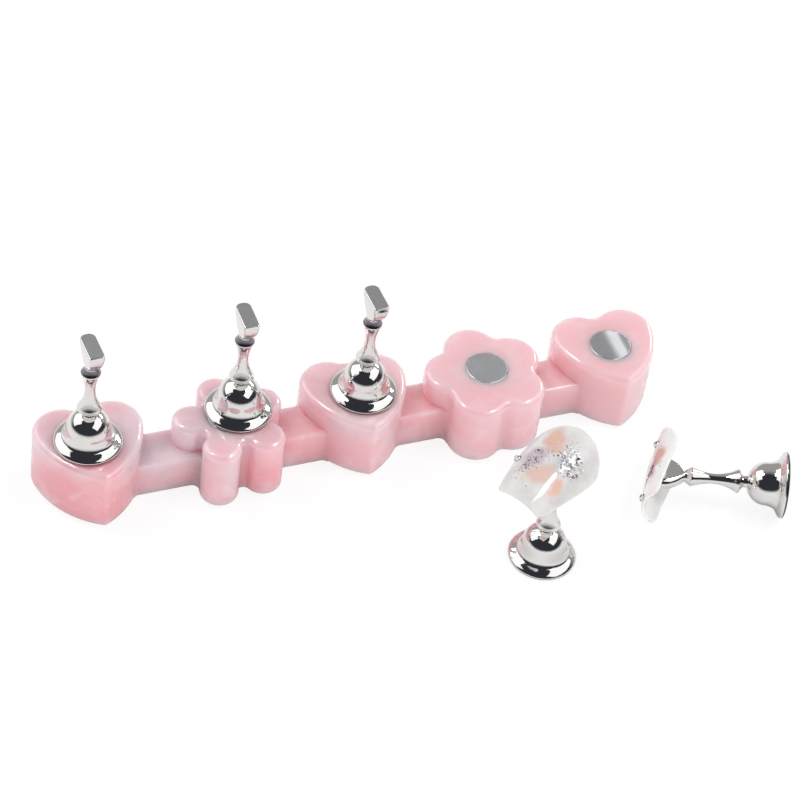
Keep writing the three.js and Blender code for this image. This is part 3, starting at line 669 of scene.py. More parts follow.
def flower_arcs(petal_radius, petal_distance, notch_radius):
    half = math.pi / PETAL_COUNT
    reach = petal_radius + notch_radius
    notch_distance = petal_distance * math.cos(half)
    notch_distance += math.sqrt(reach ** 2 - (petal_distance * math.sin(half)) ** 2)

    def polar(distance, angle):
        return Vector((distance * math.cos(angle), distance * math.sin(angle)))

    arcs = []
    for i in range(PETAL_COUNT):
        angle = math.radians(FLOWER_TURN_DEG) + 2 * half * i
        petal = polar(petal_distance, angle)
        notch = polar(notch_distance, angle + half)
        petal_start = direction(petal, polar(notch_distance, angle - half))
        petal_end = after(direction(petal, notch), petal_start)
        notch_end = direction(notch, polar(petal_distance, angle + 2 * half))
        notch_start = after(direction(notch, petal), notch_end)
        arcs.append(arc(petal, petal_radius, petal_start, petal_end, steps=34))
        arcs.append(arc(notch, notch_radius, notch_start, notch_end, steps=12, hollow=True))
    return arcs


def bar_arcs(length, width, corner_radius, steps, meets_next=False, far_radius=None):
    """Four corner arcs joined by straight runs. The corners at the +Y side can have their own radius."""
    arcs = []
    for i, (side_x, side_y) in enumerate(((1, -1), (1, 1), (-1, 1), (-1, -1))):
        radius = far_radius if far_radius is not None and side_y > 0 else corner_radius
        centre = (side_x * (length / 2 - radius), side_y * (width / 2 - radius))
        start, end = (i - 1) * math.pi / 2, i * math.pi / 2
        arcs.append(arc(centre, radius, start, end, steps, meets_next=meets_next))
    return arcs


def circle_points(radius, z):
    arcs = bar_arcs(2 * radius, 2 * radius, radius, QUARTER_STEPS, meets_next=True)
    return outline_points(arcs, 0, z)


def rounded_levels(height, bottom_round, top_round):
    """Heights and insets of the rings of a slab with rounded bottom and top edges."""
    bottom, top = [], []
    for i in range(ROUND_STEPS + 1):
        angle = i / ROUND_STEPS * math.pi / 2
        rise, inset = 1 - math.cos(angle), 1 - math.sin(angle)
        bottom.append((bottom_round * rise, bottom_round * inset))
        top.insert(0, (height - top_round * rise, top_round * inset))
    return bottom + top


def slab(name, arcs, height, bottom_round, top_round, shift=(0, 0)):
    moved = Vector((*shift, 0))
    rings = [
        [point + moved for point in outline_points(arcs, inset, z)]
        for z, inset in rounded_levels(height, bottom_round, top_round)
    ]
    return make_piece(name, *loft(rings))


# Resin strip


def pads():
    """Each pad's outline, its place along the strip, and its shift from there."""
    def flower(petal_radius, petal_distance, notch_radius, shift_shares):
        shift = tuple(share * petal_distance for share in shift_shares)
        return flower_arcs(petal_radius, petal_distance, notch_radius), shift

    heart = (heart_arcs(), (0, 0))
    slim = flower(SLIM_PETAL_RADIUS, SLIM_PETAL_DISTANCE, SLIM_NOTCH_RADIUS, SLIM_SHIFT_SHARES)
    plump = flower(PLUMP_PETAL_RADIUS, PLUMP_PETAL_DISTANCE, PLUMP_NOTCH_RADIUS, PLUMP_SHIFT_SHARES)
    kinds = [heart, slim, heart, plump, heart]
    return [
        (arcs, (i - (len(kinds) - 1) / 2) * PAD_PITCH, shift)
        for i, (arcs, shift) in enumerate(kinds)
    ]


def join_arc(pad_arcs, shift, side, front):
    """The arc that rounds the corner between the bar's side and a pad's wall, on the pad's own centre.
    Side is 1 towards +X or -1, front is 1 towards +Y or -1."""
    line = front * (BAR_WIDTH / 2 + JOIN_ROUND)
    best = None
    for part in pad_arcs:
        if part["hollow"]:
            continue
        x, y = part["centre"][0] + shift[0], part["centre"][1] + shift[1]
        reach = part["radius"] + JOIN_ROUND
        rise = line - y
        if abs(rise) >= reach:
            continue
        centre_x = x + side * math.sqrt(reach ** 2 - rise ** 2)
        touch = math.atan2(rise, centre_x - x)
        while touch < part["start"]:
            touch += 2 * math.pi
        if touch <= part["end"] and (best is None or side * centre_x > side * best[0]):
            best = (centre_x, (x, y))
    centre = (best[0], line)
    to_bar = -front * math.pi / 2
    to_pad = direction(centre, best[1])
    while to_pad - to_bar > math.pi:
        to_pad -= 2 * math.pi
    while to_pad - to_bar < -math.pi:
        to_pad += 2 * math.pi
    return arc(centre, JOIN_ROUND, to_bar, to_pad, WEB_STEPS, hollow=True, meets_next=False)


def join_web(pad_arcs, shift, side, front):
    """The web inside a join's arc. Its inner corner is buried in the pad and the bar."""
    edge = join_arc(pad_arcs, shift, side, front)
    x, y = edge["centre"]
    buried = 2 * JOIN_ROUND
    rings = [
        outline_points([edge], inset, z) + [Vector((x - side * buried, y - front * buried, z))]
        for z, inset in rounded_levels(BAR_HEIGHT, BAR_EDGE_ROUND, BAR_EDGE_ROUND)
    ]
    area = sum(a.x * b.y - b.x * a.y for a, b in zip(rings[0], rings[0][1:] + rings[0][:1]))
    if area < 0:
        rings = [ring[::-1] for ring in rings]
    return make_piece("web", *loft(rings))


def disc_recess(x):
    radius = DISC_DIAMETER / 2 + DISC_CLEARANCE
    floor = PAD_HEIGHT - DISC_THICKNESS
    rings = [circle_points(radius, z) for z in (floor, floor + 2 * DISC_THICKNESS)]
    points, faces = loft(rings)
    return make_piece("recess", [point + Vector((x, 0, 0)) for point in points], faces)


def resin_base(material):
    places = pads()
    bar = bar_arcs((len(places) - 1) * PAD_PITCH, BAR_WIDTH, BAR_CORNER_RADIUS, CORNER_STEPS)
    base = slab("resin_strip", bar, BAR_HEIGHT, BAR_EDGE_ROUND, BAR_EDGE_ROUND)
    for i, (arcs, x, shift) in enumerate(places):
        middle = (x + shift[0], shift[1])
        combine(base, slab("pad", arcs, PAD_HEIGHT, PAD_BOTTOM_ROUND, PAD_TOP_ROUND, middle), "UNION")
        for side in (-1, 1):
            if i + side in range(len(places)):
                for front in (-1, 1):
                    web = join_web(arcs, shift, side, front)
                    web.data.transform(Matrix.Translation((x * MM, 0, 0)))
                    combine(base, web, "UNION")
    for _, x, _ in places:
        combine(base, disc_recess(x), "DIFFERENCE")
    base.data.materials.clear()
    base.data.materials.append(material)
    finish_edges(base, RESIN_SHARP_DEG)
    return base


# Turned pieces


def turned(name, profile, materials, sharp_deg, matrix, head=(), top_slot=0, level_slots=None):
    """A piece turned about Z from (radius, height) pairs, with the rings of a head on top. The flat at the
    top can have a material of its own, and so can each level of the profile."""
    rings = [circle_points(radius, z) for radius, z in profile]
    rings.extend(head)
    points, faces = loft(rings)
    slots = [0] * len(faces)
    slots[-1] = top_slot
    count = len(rings[0])
    for level, slot in (level_slots or {}).items():
        first = 1 + level * count
        slots[first:first + count] = [slot] * count
    return make_piece(name, placed(points, matrix), faces, materials, sharp_deg, slots)


def lerp(start, end, share):
    return start + (end - start) * share


def bezier(points):
    """Points along a Bezier curve of any degree, without its first point."""
    found = []
    degree = len(points) - 1
    for i in range(1, CURVE_STEPS + 1):
        t = i / CURVE_STEPS
        x = y = 0
        for k, (px, py) in enumerate(points):
            weight = math.comb(degree, k) * t ** k * (1 - t) ** (degree - k)
            x += weight * px
            y += weight * py
        found.append((x, y))
    return found


def ellipse(centre, radii, start, end, steps):
    """Points along an ellipse's arc, without its first point."""
    return [
        (centre[0] + radii[0] * math.cos(angle), centre[1] + radii[1] * math.sin(angle))
        for angle in (lerp(start, end, i / steps) for i in range(1, steps + 1))
    ]


def disc(name, diameter, thickness, chamfer, material, matrix):
    shrunk = diameter / 2 - chamfer
    round_edge = (chamfer, chamfer)
    profile = [(shrunk, 0)]
    profile += ellipse((shrunk, chamfer), round_edge, -math.pi / 2, 0, CHAMFER_STEPS)
    profile += ellipse((shrunk, thickness - chamfer), round_edge, 0, math.pi / 2, CHAMFER_STEPS)
    return turned(name, profile, [material], DISC_SHARP_DEG, matrix)


def collar_land(radius, height):
    """The small round on a collar's outer edge."""
    land = COLLAR_LAND / 2
    return ellipse((radius - land, height), (land, land), -math.pi / 4, math.pi / 4, LAND_STEPS)


def holder_profile():
    """From the ceiling of the magnet's bore, out over the underside and up to the neck under the head."""
    flange = FLANGE_DIAMETER / 2
    flare = FLARE_DIAMETER / 2
    rim = FLANGE_RIM_HEIGHT
    bell = BELL_DIAMETER / 2
    shoulder = BELL_SHOULDER_HEIGHT
    neck = NECK_DIAMETER / 2
    lower = LOWER_COLLAR_DIAMETER / 2
    upper = UPPER_COLLAR_DIAMETER / 2
    waist = STEM_DIAMETER / 2
    bore = MAGNET_DIAMETER / 2 + MAGNET_CLEARANCE
    hollow = FOOT_HOLLOW_DIAMETER / 2
    ceiling = MAGNET_RECESS + MAGNET_THICKNESS + MAGNET_GLUE
    land = COLLAR_LAND / 2
    slope_shares = (0.37, 0.53, 0.7)
    flare_shares = (0.45, 0.09, 0.6)
    stem_shares = (0.4, 0.65)
    stem_spread_share = 1.25
    undercut_share = 0.75
    recess_share = 0.85

    profile = [(bore, ceiling), (bore, FOOT_HOLLOW_DEPTH), (hollow, FOOT_HOLLOW_DEPTH), (hollow, 0)]
    profile.append((flange - rim, 0))
    profile += ellipse((flange - rim, rim), (rim, rim), -math.pi / 2, 0, ROUND_STEPS)
    profile += bezier([
        (flange, rim),
        (flange, lerp(rim, FLARE_HEIGHT, slope_shares[0])),
        (lerp(flange, flare, slope_shares[1]), lerp(rim, FLARE_HEIGHT, slope_shares[2])),
        (flare, FLARE_HEIGHT),
    ])
    profile += bezier([
        (flare, FLARE_HEIGHT),
        (lerp(flare, bell, flare_shares[0]), lerp(FLARE_HEIGHT, shoulder, flare_shares[1])),
        (bell, lerp(FLARE_HEIGHT, shoulder, flare_shares[2])),
        (bell, shoulder),
    ])
    profile += ellipse((0, shoulder), (bell, BELL_HEIGHT - shoulder), 0, math.acos(neck / bell), CURVE_STEPS)
    profile.append((neck, LOWER_COLLAR_HEIGHT - undercut_share * (lower - neck)))
    profile.append((lower - land, LOWER_COLLAR_HEIGHT - land))
    profile += collar_land(lower, LOWER_COLLAR_HEIGHT)
    profile += bezier([
        (lower, LOWER_COLLAR_HEIGHT + COLLAR_LAND),
        (waist * stem_spread_share, lerp(LOWER_COLLAR_HEIGHT, STEM_WAIST_HEIGHT, stem_shares[0])),
        (waist, lerp(LOWER_COLLAR_HEIGHT, STEM_WAIST_HEIGHT, stem_shares[1])),
        (waist, STEM_WAIST_HEIGHT),
    ])
    profile += bezier([
        (waist, STEM_WAIST_HEIGHT),
        (waist, lerp(STEM_WAIST_HEIGHT, UPPER_COLLAR_HEIGHT, stem_shares[0])),
        (upper, UPPER_COLLAR_HEIGHT),
    ])
    profile += collar_land(upper, UPPER_COLLAR_HEIGHT + land)
    profile.append((neck, lerp(UPPER_COLLAR_HEIGHT, HEAD_ROOT_HEIGHT, recess_share)))
    return profile


def holder_level_slots(profile, docked):
    """Levels with darker chrome, which is painted shade and painted dark reflection: the flange's rim, and
    on a docked holder the recess over its collar.
    """
    inner = FLANGE_DIAMETER / 2 - FLANGE_RIM_HEIGHT
    slots = {
        level: RIM_SHADE_SLOT for level in range(len(profile) - 1)
        if all(radius > inner and z <= FLANGE_RIM_HEIGHT for radius, z in profile[level:level + 2])
    }
    if docked:
        slots[len(profile) - 2] = RECESS_SHADE_SLOT
    return slots


def head_rings(turn):
    """The head fans out from the neck along its length to an oblong seat."""
    neck = NECK_DIAMETER / 2
    wall_foot = HOLDER_HEIGHT - HEAD_WALL_HEIGHT
    spin = Matrix.Rotation(turn, 4, "Z")
    fan_power = 0.85

    def ring(z, half_length, half_width, inset):
        grown = min(1, (z - HEAD_ROOT_HEIGHT) / neck)
        heel = min(lerp(neck, HEAD_HEEL_RADIUS, grown), half_width)
        toe = min(lerp(neck, HEAD_TOE_RADIUS, grown), half_width)
        arcs = bar_arcs(2 * half_width, 2 * half_length, heel, QUARTER_STEPS, True, toe)
        return placed(outline_points(arcs, inset, z), spin)

    rings = []
    for i in range(CURVE_STEPS + 1):
        share = i / CURVE_STEPS
        rings.append(ring(
            lerp(HEAD_ROOT_HEIGHT, wall_foot, share),
            lerp(neck, HEAD_LENGTH / 2, math.sin(share * math.pi / 2) ** fan_power),
            lerp(neck, HEAD_WIDTH / 2, share),
            0,
        ))
    for i in range(CORNER_STEPS + 1):
        angle = i / CORNER_STEPS * math.pi / 2
        rings.append(ring(
            HOLDER_HEIGHT - HEAD_EDGE_ROUND * (1 - math.sin(angle)),
            HEAD_LENGTH / 2,
            HEAD_WIDTH / 2,
            HEAD_EDGE_ROUND * (1 - math.cos(angle)),
        ))
    return rings


# Where the pieces are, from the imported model


def box_centre(node):
    low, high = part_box(node)
    return (low + high) / 2 / MM


def turned_matrix(angles):
    return Euler(angles, "XYZ").to_matrix().to_4x4()


def lying_frame():
    """Holder 5 lies on the table: its axis is the way its nail pulls off, through its magnet's middle."""
    joint = next(joint for joint in frame["joints"] if joint["child"] == "nail_5")
    axis = Vector(joint["axis"]).normalized()
    turn = turned_matrix((0, math.acos(axis.z), math.atan2(axis.y, axis.x)))
    foot = box_centre("holder_magnet_5") - axis * (MAGNET_RECESS + MAGNET_THICKNESS / 2)
    return Matrix.Translation(foot) @ turn


def holder_frame(number):
    if number == 5:
        return lying_frame()
    middle = box_centre(f"holder_magnet_{number}")
    return Matrix.Translation(middle - Vector((0, 0, MAGNET_RECESS + MAGNET_THICKNESS / 2)))


def head_turn(nail):
    return math.radians(nail["turn_deg"]) - math.pi / 2


def nail_placement(nail):
    top = HOLDER_HEIGHT + nail["putty_thickness"] + 2 * PUTTY_CLEARANCE + NAIL_THICKNESS
    x, y = (share * HEAD_LENGTH for share in nail["shift_shares"])
    angles = tuple(math.radians(nail[key]) for key in ("roll_deg", "pitch_deg", "turn_deg"))
    return Matrix.Translation((x, y, top)) @ turned_matrix(angles)


def body_with(node):
    bodies = frame["record"]["behaviour"]["bodies"]
    return next(body for body, members in bodies.items() if node in members)


def settle(piece, node):
    """The piece stands for a node: it rides on the node's body, and the node is hidden."""
    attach(piece, body_with(node))
    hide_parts(node)


# False nails


def half_width(nail, along):
    """Half the nail's width, along measured from its middle: round at the cuticle, or blunter with a higher
    power, and drawn in to the free edge."""
    draw_in_power = 1.7
    distance = along + nail["length"] / 2
    widest = nail["length"] * nail["widest_share"]
    if distance < widest:
        power = nail["cuticle_power"]
        return nail["width"] / 2 * max(0, 1 - max(0, 1 - distance / widest) ** power) ** (1 / power)
    share = (distance - widest) / (nail["length"] - widest)
    half = lerp(nail["width"], nail["edge_width"], share ** draw_in_power) / 2
    corner = nail["corner_radius"]
    into_corner = max(0, distance - (nail["length"] - corner))
    return half - corner + math.sqrt(max(0, corner ** 2 - into_corner ** 2))


def nail_bow(along):
    return along ** 2 / (2 * NAIL_BOW_RADIUS)


def on_nail(nail, along, half, across, depth):
    """A point under the arch, and the arch's angle there."""
    angle = math.asin(min(1, half / nail["arch_radius"])) * across
    radius = nail["arch_radius"] - depth
    point = Vector((
        along,
        radius * math.sin(angle),
        radius * math.cos(angle) - nail["arch_radius"] - nail_bow(along),
    ))
    return point, angle


def place_on_nail(nail, along, across, depth):
    """The point of the nail's surface there, and the arch's angle."""
    return on_nail(nail, along, half_width(nail, along), across, depth)


def nail_points(nail):
    """Points of the outer and the inner layer, which meet in rounded rims, and each point's UV."""
    length = nail["length"]
    middle = NAIL_THICKNESS / 2
    rim = NAIL_THICKNESS * 0.55
    cuticle_rim_share = 0.4
    widest = length * nail["widest_share"]
    points, uvs = [], []
    for layer_side in (-1, 1):
        for i in range(1, NAIL_ROWS + 1):
            along = -math.cos(math.pi * i / NAIL_ROWS) * length / 2
            half = half_width(nail, along)
            from_end = length / 2 - along
            from_start = along + length / 2
            for j in range(NAIL_COLUMNS + 1):
                across = -math.cos(math.pi * j / NAIL_COLUMNS)
                inwards = 1 - abs(across)
                to_side = half * inwards
                if from_start < widest:
                    to_side = min(to_side, from_start * inwards + to_side * cuticle_rim_share)
                edge = min(1, max(0, min(to_side, from_end)) / rim)
                swell = math.sqrt(max(0, 1 - (1 - edge) ** 2))
                point, angle = on_nail(nail, along, half, across, middle + layer_side * swell * middle)
                points.append(point)
                uvs.append((along, nail["arch_radius"] * angle))
    return points, uvs


def nail_mesh(nail):
    """A closed shell with rounded rims. Returns points, faces and the UV of each point in millimetres."""
    points, uvs = nail_points(nail)
    width = NAIL_COLUMNS + 1
    inner = len(points) // 2
    faces = []
    for row in range(NAIL_ROWS - 1):
        for column in range(NAIL_COLUMNS):
            a = row * width + column
            b = inner + a
            faces.append((a, a + width, a + width + 1, a + 1))
            faces.append((b, b + 1, b + width + 1, b + width))
    # Both layers close on one point at the cuticle end.
    start = -nail["length"] / 2
    pole = len(points)
    points.append(on_nail(nail, start, 0, 0, NAIL_THICKNESS / 2)[0])
    uvs.append((start, 0))
    for column in range(NAIL_COLUMNS):
        faces.append((pole, column, column + 1))
        faces.append((pole, inner + column + 1, inner + column))
    return points, faces, uvs


def false_nail(nail, matrix, material):
    points, faces, uvs = nail_mesh(nail)
    piece = make_piece(f"gel_nail_{nail['number']}", placed(points, matrix), faces, [material])
    layer = piece.data.uv_layers.new(name=NAIL_UV)
    for loop in piece.data.loops:
        layer.data[loop.index].uv = uvs[loop.vertex_index]
    weld(piece, WELD_DISTANCE)
    piece.data.shade_smooth()
    return piece


def putty_piece(nail, matrix, material):
    """The dab sits on the head's seat, and its top follows the hollow of the nail over it."""
    placement = nail_placement(nail)
    to_nail = placement.inverted()
    spin = Matrix.Rotation(head_turn(nail), 4, "Z")
    foot = HOLDER_HEIGHT + PUTTY_GAP
    arcs = bar_arcs(PUTTY_WIDTH, PUTTY_LENGTH, PUTTY_CORNER_RADIUS, steps=10, meets_next=True)

    def ring(inset, z):
        return placed(outline_points(arcs, inset, z), spin)

    def under_nail(point, drop):
        local = to_nail @ point
        radius = nail["arch_radius"] - NAIL_THICKNESS
        rise = math.sqrt(radius ** 2 - local.y ** 2) - nail["arch_radius"]
        local.z = rise - nail_bow(local.x) - PUTTY_GAP
        found = placement @ local
        found.z -= drop
        return found

    points, faces = loft([
        ring(PUTTY_EDGE_ROUND, foot),
        ring(0, foot + PUTTY_EDGE_ROUND),
        [under_nail(point, PUTTY_EDGE_ROUND) for point in ring(0, foot)],
        [under_nail(point, 0) for point in ring(PUTTY_EDGE_ROUND, foot)],
    ])
    name = f"putty_dab_{nail['number']}"
    return make_piece(name, placed(points, matrix), faces, [material], PUTTY_SHARP_DEG)


def stone_piece(nail, letter, matrix, materials):
    """A flat-backed stone with two rows of facets between its girdle and its table. The table shows the foil
    behind it, and some facets, on the table and below it, carry a painted dark reflection."""
    along_share, across = nail["stone_shares"][letter]
    seat, angle = place_on_nail(nail, along_share * nail["length"], across, -STONE_GAP)
    place = matrix @ Matrix.Translation(seat) @ Matrix.Rotation(-angle, 4, "X")
    points, faces = loft([
        polygon(STONE_DIAMETER / 2 * share, STONE_SIDES, STONE_HEIGHT * rise, turn)
        for share, rise, turn in STONE_RING_SHARES
    ])
    # The table is cut into facets that meet in its middle.
    faces.pop()
    middle = len(points)
    points.append(Vector((0, 0, STONE_HEIGHT)))
    table = middle - STONE_SIDES
    faces += [(table + i, table + (i + 1) % STONE_SIDES, middle) for i in range(STONE_SIDES)]
    slots = [0, *(dark for row in PAINTED_DARK_FACETS for dark in row)]
    name = f"stone_{nail['number']}{letter}"
    piece = make_piece(name, placed(points, place), faces, materials, face_slots=slots)
    piece.data.shade_flat()
    return piece


def flakes(nail, name, matrix, material, seed, bands):
    """Glitter laid in the top of the gel: each band is (count, start, end, spread, sizes, sides), with start
    and end as (along, across) shares of the nail's half length and of the arch's angle."""
    across_spread = 1.4
    along_limit, across_limit = 0.94, 0.9
    tilt_spread = 0.12
    thin = FLAKE_THICKNESS / 2
    dice = random.Random(seed)
    points, faces = [], []
    for count, start, end, spread, sizes, sides in bands:
        for _ in range(count):
            t = dice.random()
            along = lerp(start[0], end[0], t) + dice.gauss(0, spread)
            across = lerp(start[1], end[1], t) + dice.gauss(0, spread * across_spread)
            along = max(-along_limit, min(along_limit, along)) * nail["length"] / 2
            across = max(-across_limit, min(across_limit, across))
            size = dice.uniform(*sizes)
            seat, angle = place_on_nail(nail, along, across, -thin)
            roll, pitch = dice.gauss(0, tilt_spread) - angle, dice.gauss(0, tilt_spread)
            tilt = Euler((roll, pitch, dice.uniform(0, math.pi)), "ZXY").to_matrix().to_4x4()
            place = matrix @ Matrix.Translation(seat) @ tilt
            corners, sheet = loft([polygon(size, sides, z) for z in (-thin, thin)])
            faces += [tuple(len(points) + corner for corner in face) for face in sheet]
            points += placed(corners, place)
    piece = make_piece(name, points, faces, [material])
    piece.data.shade_flat()
    return piece


# What each nail is painted with: tones of the gel, blots, and bands of silver and lilac glitter

PEACH = srgb(216, 178, 163)
PALE_PEACH = srgb(219, 188, 178)
DEEP_PEACH = srgb(220, 178, 160)
ROSE = srgb(206, 154, 148)
MAUVE = srgb(188, 152, 168)
LILAC_HAZE = srgb(194, 183, 191)
BLUE_HAZE = srgb(206, 203, 220)
MILK_TONES = {
    4: (srgb(205, 204, 203), srgb(221, 220, 219)),
    # Nail 5's tones are partly painted light: set a little lighter to lift its inner side, which lies in its
    # own shadow
    5: (srgb(231, 230, 227), srgb(244, 243, 240)),
}
BLOTS = {
    4: [
        (1.2, -4.6, 3.4, 1.25, 0, LILAC_HAZE),
        (-3.4, -9.4, 1.5, 3.2, 0, BLUE_HAZE),
        (-6.2, -3.9, 2.9, 1.7, 36, PEACH),
        (4.4, -0.6, 2.6, 1.6, -34, PALE_PEACH),
        (4.5, 4.5, 1.5, 1.7, 0, DEEP_PEACH),
    ],
    5: [
        (-0.8, 6.0, 1.9, 1.9, 0, ROSE),
        (3.0, 4.6, 1.5, 2.2, 0, MAUVE),
    ],
}
SILVER_SEED = 11
SILVER_BANDS = {
    4: [
        (64, (-0.46, 0.12), (-0.04, 0.3), 0.07, (0.22, 0.5), 6),
        (34, (-0.38, 0.3), (-0.12, 0.44), 0.06, (0.14, 0.36), 5),
        (40, (-0.5, -0.05), (-0.05, 0.5), 0.1, (0.05, 0.12), 5),
    ],
    5: [
        (14, (-0.45, 0.3), (-0.1, 0.5), 0.06, (0.12, 0.3), 6),
        (24, (-0.2, 0.3), (0.5, 0.5), 0.09, (0.05, 0.11), 5),
    ],
}
LILAC_SEED = 31
LILAC_BANDS = {
    4: [
        (18, (0.06, 0.44), (-0.12, 0.55), 0.03, (0.13, 0.32), 4),
        (7, (-0.1, -0.45), (-0.06, -0.49), 0.02, (0.14, 0.26), 4),
        (10, (-0.3, 0.2), (-0.1, 0.4), 0.06, (0.1, 0.24), 5),
        (66, (0.5, -0.5), (0.0, -0.3), 0.08, (0.06, 0.17), 5),
        (46, (0.3, -0.62), (-0.25, -0.2), 0.09, (0.05, 0.13), 5),
        (16, (-0.2, -0.1), (-0.2, 0.05), 0.05, (0.06, 0.16), 5),
        (7, (-0.55, 0.08), (-0.64, 0.16), 0.05, (0.07, 0.12), 5),
        (2, (0.71, -0.13), (0.7, -0.12), 0.02, (0.1, 0.14), 5),
    ],
    5: [
        (44, (0.16, 0.54), (0.6, 0.3), 0.025, (0.1, 0.32), 4),
        (20, (-0.1, 0.3), (0.4, 0.5), 0.09, (0.05, 0.14), 5),
        (1, (0.28, 0.78), (0.28, 0.78), 0.0, (0.14, 0.15), 6),
    ],
}


# Assembly

holder_metals = [
    chrome_material("chrome_plate", 0.035, 420, 0.14),
    seat_material(),
    # Darker chrome for the flange's rim and the recess over a docked collar: painted shade and painted dark
    # reflection
    chrome_material("rim_painted_shade", 0.12, 900, 0.2, RIM_SHADE_CHROME),
    chrome_material("recess_painted_shade", 0.08, 900, 0.2, RECESS_SHADE_CHROME),
]
nickel = disc_material()
magnet_nickel = chrome_material("magnet_nickel", 0.14, 900, 0.15)
putty_white = putty_material()
crystal = [
    crystal_material("bright_crystal", srgb(238, 240, 244), 0.25),
    # Facets with a painted dark reflection
    crystal_material("crystal_painted_dark", srgb(40, 42, 46), 0.8),
]
silver_flake = flake_material("silver_flake", srgb(252, 250, 252), 0.28, 0.15)
lilac_flake = flake_material("lilac_flake", srgb(132, 88, 116), 0.25, 0.5)

settle(resin_base(resin_material()), "resin_base")

for number in range(1, 6):
    low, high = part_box(f"pad_disc_{number}")
    middle = (low + high) / 2 / MM
    place = Matrix.Translation((middle.x, middle.y, low.z / MM))
    plate = bent_disc_material(middle.x) if number == 5 else nickel
    piece = disc(f"steel_disc_{number}", DISC_DIAMETER, DISC_THICKNESS, DISC_CHAMFER, plate, place)
    settle(piece, f"pad_disc_{number}")

head_turns = {number: math.radians(turn) for number, turn in DOCKED_HEAD_TURN_DEG.items()}
head_turns[4] = head_turn(LARGE_NAIL)
head_turns[5] = head_turn(SMALL_NAIL)
for number, turn in head_turns.items():
    place = holder_frame(number)
    profile = holder_profile()
    level_slots = holder_level_slots(profile, docked=number in DOCKED_HEAD_TURN_DEG)
    casting = turned(f"chrome_holder_{number}", profile, holder_metals, CASTING_SHARP_DEG, place,
                     head_rings(turn), SEAT_SLOT, level_slots)
    settle(casting, f"holder_{number}")
    lifted = place @ Matrix.Translation((0, 0, MAGNET_RECESS))
    magnet = disc(f"foot_magnet_{number}", MAGNET_DIAMETER, MAGNET_THICKNESS, MAGNET_CHAMFER,
                  magnet_nickel, lifted)
    settle(magnet, f"holder_magnet_{number}")

for nail in (LARGE_NAIL, SMALL_NAIL):
    number = nail["number"]
    holder_place = holder_frame(number)
    on_head = holder_place @ nail_placement(nail)
    gel = gel_material(f"milky_gel_{number}", MILK_TONES[number], BLOTS[number])
    settle(false_nail(nail, on_head, gel), f"false_nail_{number}")
    settle(putty_piece(nail, holder_place, putty_white), f"putty_{number}")
    for letter in nail["stone_shares"]:
        settle(stone_piece(nail, letter, on_head, crystal), f"rhinestone_{number}{letter}")
    for title, metal, seed, bands in (
        ("silver", silver_flake, SILVER_SEED + number, SILVER_BANDS[number]),
        ("lilac", lilac_flake, LILAC_SEED + number, LILAC_BANDS[number]),
    ):
        glitter = flakes(nail, f"{title}_glitter_{number}", on_head, metal, seed, bands)
        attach(glitter, f"nail_{number}")


# Studio: a pale floor, a surround that is pale at the horizon, two softboxes, and three small bright lamps
# that make crisp highlights on the rounded edges

DARK_ROOM = (0.035, 0.037, 0.046, 1.0)
GREY_BACKDROP = (0.40, 0.395, 0.39, 1.0)
HORIZON = grey(0.8)
FRONT_FILL, BACK_FILL = 1.62, 0.74
TOP_FILL = grey(0.32)
PAPER = grey(0.94)
PAPER_GLOW = grey(1.03)
PAPER_GLOW_SHARE = 0.82
WHITE = grey(1.0)
FLOOR_REACH = 3.0


def floor_material():
    """White paper. The camera sees it nearly self-lit, so that it keeps only a soft shadow."""
    graph = material_graph("paper_floor")
    seen = graph.add("LightPath").outputs["Is Camera Ray"]
    material = graph.surface({
        "Base Color": graph.mix(seen, PAPER, WHITE),
        "Roughness": 0.9,
        "Specular IOR Level": 0.0,
    })
    paper = graph.nodes["Principled BSDF"].outputs["BSDF"]
    glow = graph.add("Emission", {"Color": PAPER_GLOW}).outputs["Emission"]
    share = graph.calculate("MULTIPLY", seen, PAPER_GLOW_SHARE)
    lit = graph.add("MixShader", {"Fac": share, 1: paper, 2: glow}).outputs["Shader"]
    graph.fill(graph.nodes["Material Output"], {"Surface": lit})
    return material


def make_floor():
    corners = [(x * FLOOR_REACH, y * FLOOR_REACH, 0) for x, y in ((-1, -1), (1, -1), (1, 1), (-1, 1))]
    mesh = bpy.data.meshes.new("floor")
    mesh.from_pydata(corners, [], [(0, 1, 2, 3)])
    mesh.materials.append(floor_material())
    add_object("floor", mesh)


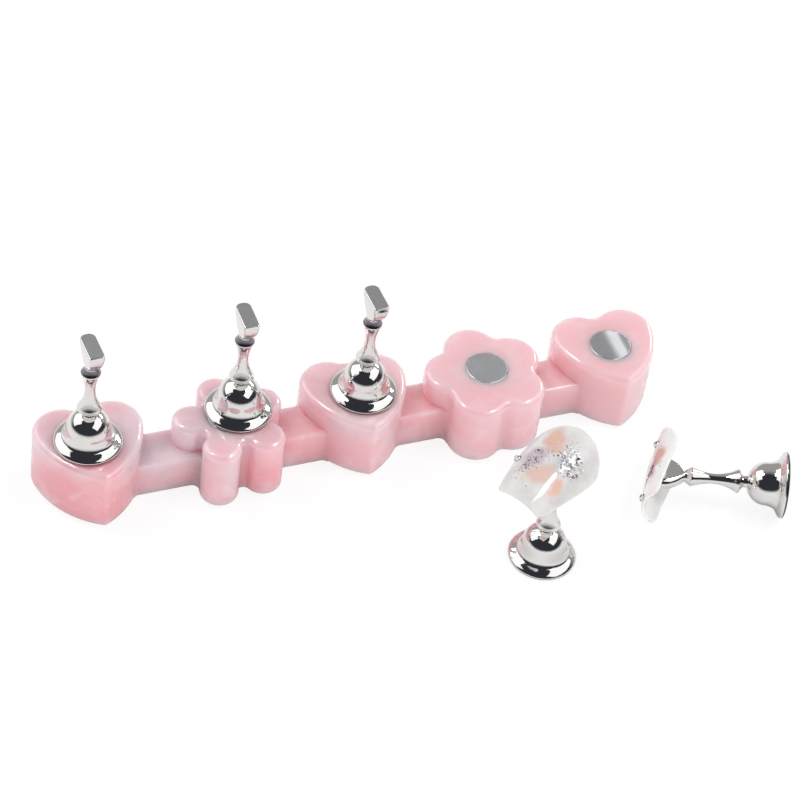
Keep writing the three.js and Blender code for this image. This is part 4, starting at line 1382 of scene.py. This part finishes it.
def make_world():
    """What surrounds the table. A mirror sees a dark room in front, a grey backdrop behind, and pale grey at
    the horizon. Matt surfaces get more fill from the front than from behind or above. The camera sees
    white."""
    world = bpy.data.worlds.new("studio")
    bpy.context.scene.world = world
    graph = Graph(world)
    way = graph.add("TexCoord").outputs["Generated"]
    height = graph.axes(way)["Z"]
    azimuth = math.radians(BACKDROP_AZIMUTH_DEG)
    backdrop = (math.cos(azimuth), math.sin(azimuth), 0)
    towards = graph.vectors("DOT_PRODUCT", {0: way, 1: backdrop}, "Value")
    room = graph.mix(graph.remap(towards, (0.0, 0.55), (0, 1)), DARK_ROOM, GREY_BACKDROP)
    mirrored = graph.mix(graph.remap(height, (-0.02, 0.2), (0, 1)), HORIZON, room)
    level = graph.remap(towards, (-0.9, 0.3), (FRONT_FILL, BACK_FILL))
    low_fill = graph.add("CombineColor", {channel: level for channel in ("Red", "Green", "Blue")})
    fill = graph.mix(graph.remap(height, (0.0, 0.7), (1, 0)), TOP_FILL, low_fill.outputs["Color"])
    rays = graph.add("LightPath").outputs
    lit = graph.mix(rays["Is Glossy Ray"], fill, mirrored)
    colour = graph.mix(rays["Is Camera Ray"], lit, WHITE)
    graph.fill(graph.nodes["Background"], {"Color": colour, "Strength": 1.0})


def add_lamp(name, azimuth_deg, elevation_deg, distance, width, height, power):
    """An oblong lamp that faces the object's middle."""
    data = bpy.data.lights.new(name, "AREA")
    data.shape = "RECTANGLE"
    data.size = width
    data.size_y = height
    data.energy = power
    lamp = add_object(name, data)
    azimuth, elevation = math.radians(azimuth_deg), math.radians(elevation_deg)
    away = Vector((
        math.cos(azimuth) * math.cos(elevation),
        math.sin(azimuth) * math.cos(elevation),
        math.sin(elevation),
    ))
    lamp.location = Vector(CAMERA_TARGET) * MM + away * distance
    lamp.rotation_euler = away.to_track_quat("Z", "Y").to_euler()


def make_camera():
    azimuth = math.radians(CAMERA_AZIMUTH_DEG)
    elevation = math.radians(CAMERA_ELEVATION_DEG)
    roll = math.radians(CAMERA_ROLL_DEG)
    level = Vector((math.sin(azimuth), math.cos(azimuth), 0))
    forward = level * math.cos(elevation) - Vector((0, 0, math.sin(elevation)))
    right = Vector((math.cos(azimuth), -math.sin(azimuth), 0))
    up = right.cross(forward)
    rolled_right = right * math.cos(roll) + up * math.sin(roll)
    rolled_up = up * math.cos(roll) - right * math.sin(roll)
    data = bpy.data.cameras.new("camera")
    data.lens = CAMERA_LENS_MM
    data.sensor_width = CAMERA_SENSOR_MM
    data.clip_start = CAMERA_CLIP_START * MM
    camera = add_object("camera", data)
    turn = Matrix((rolled_right, rolled_up, -forward)).transposed().to_4x4()
    place = Vector(CAMERA_TARGET) * MM - forward * CAMERA_DISTANCE * MM
    camera.matrix_world = Matrix.Translation(place) @ turn
    bpy.context.scene.camera = camera


make_floor()
make_world()
for lamp in LAMPS:
    add_lamp(*lamp)
make_camera()

bpy.context.scene.view_settings.view_transform = "Standard"
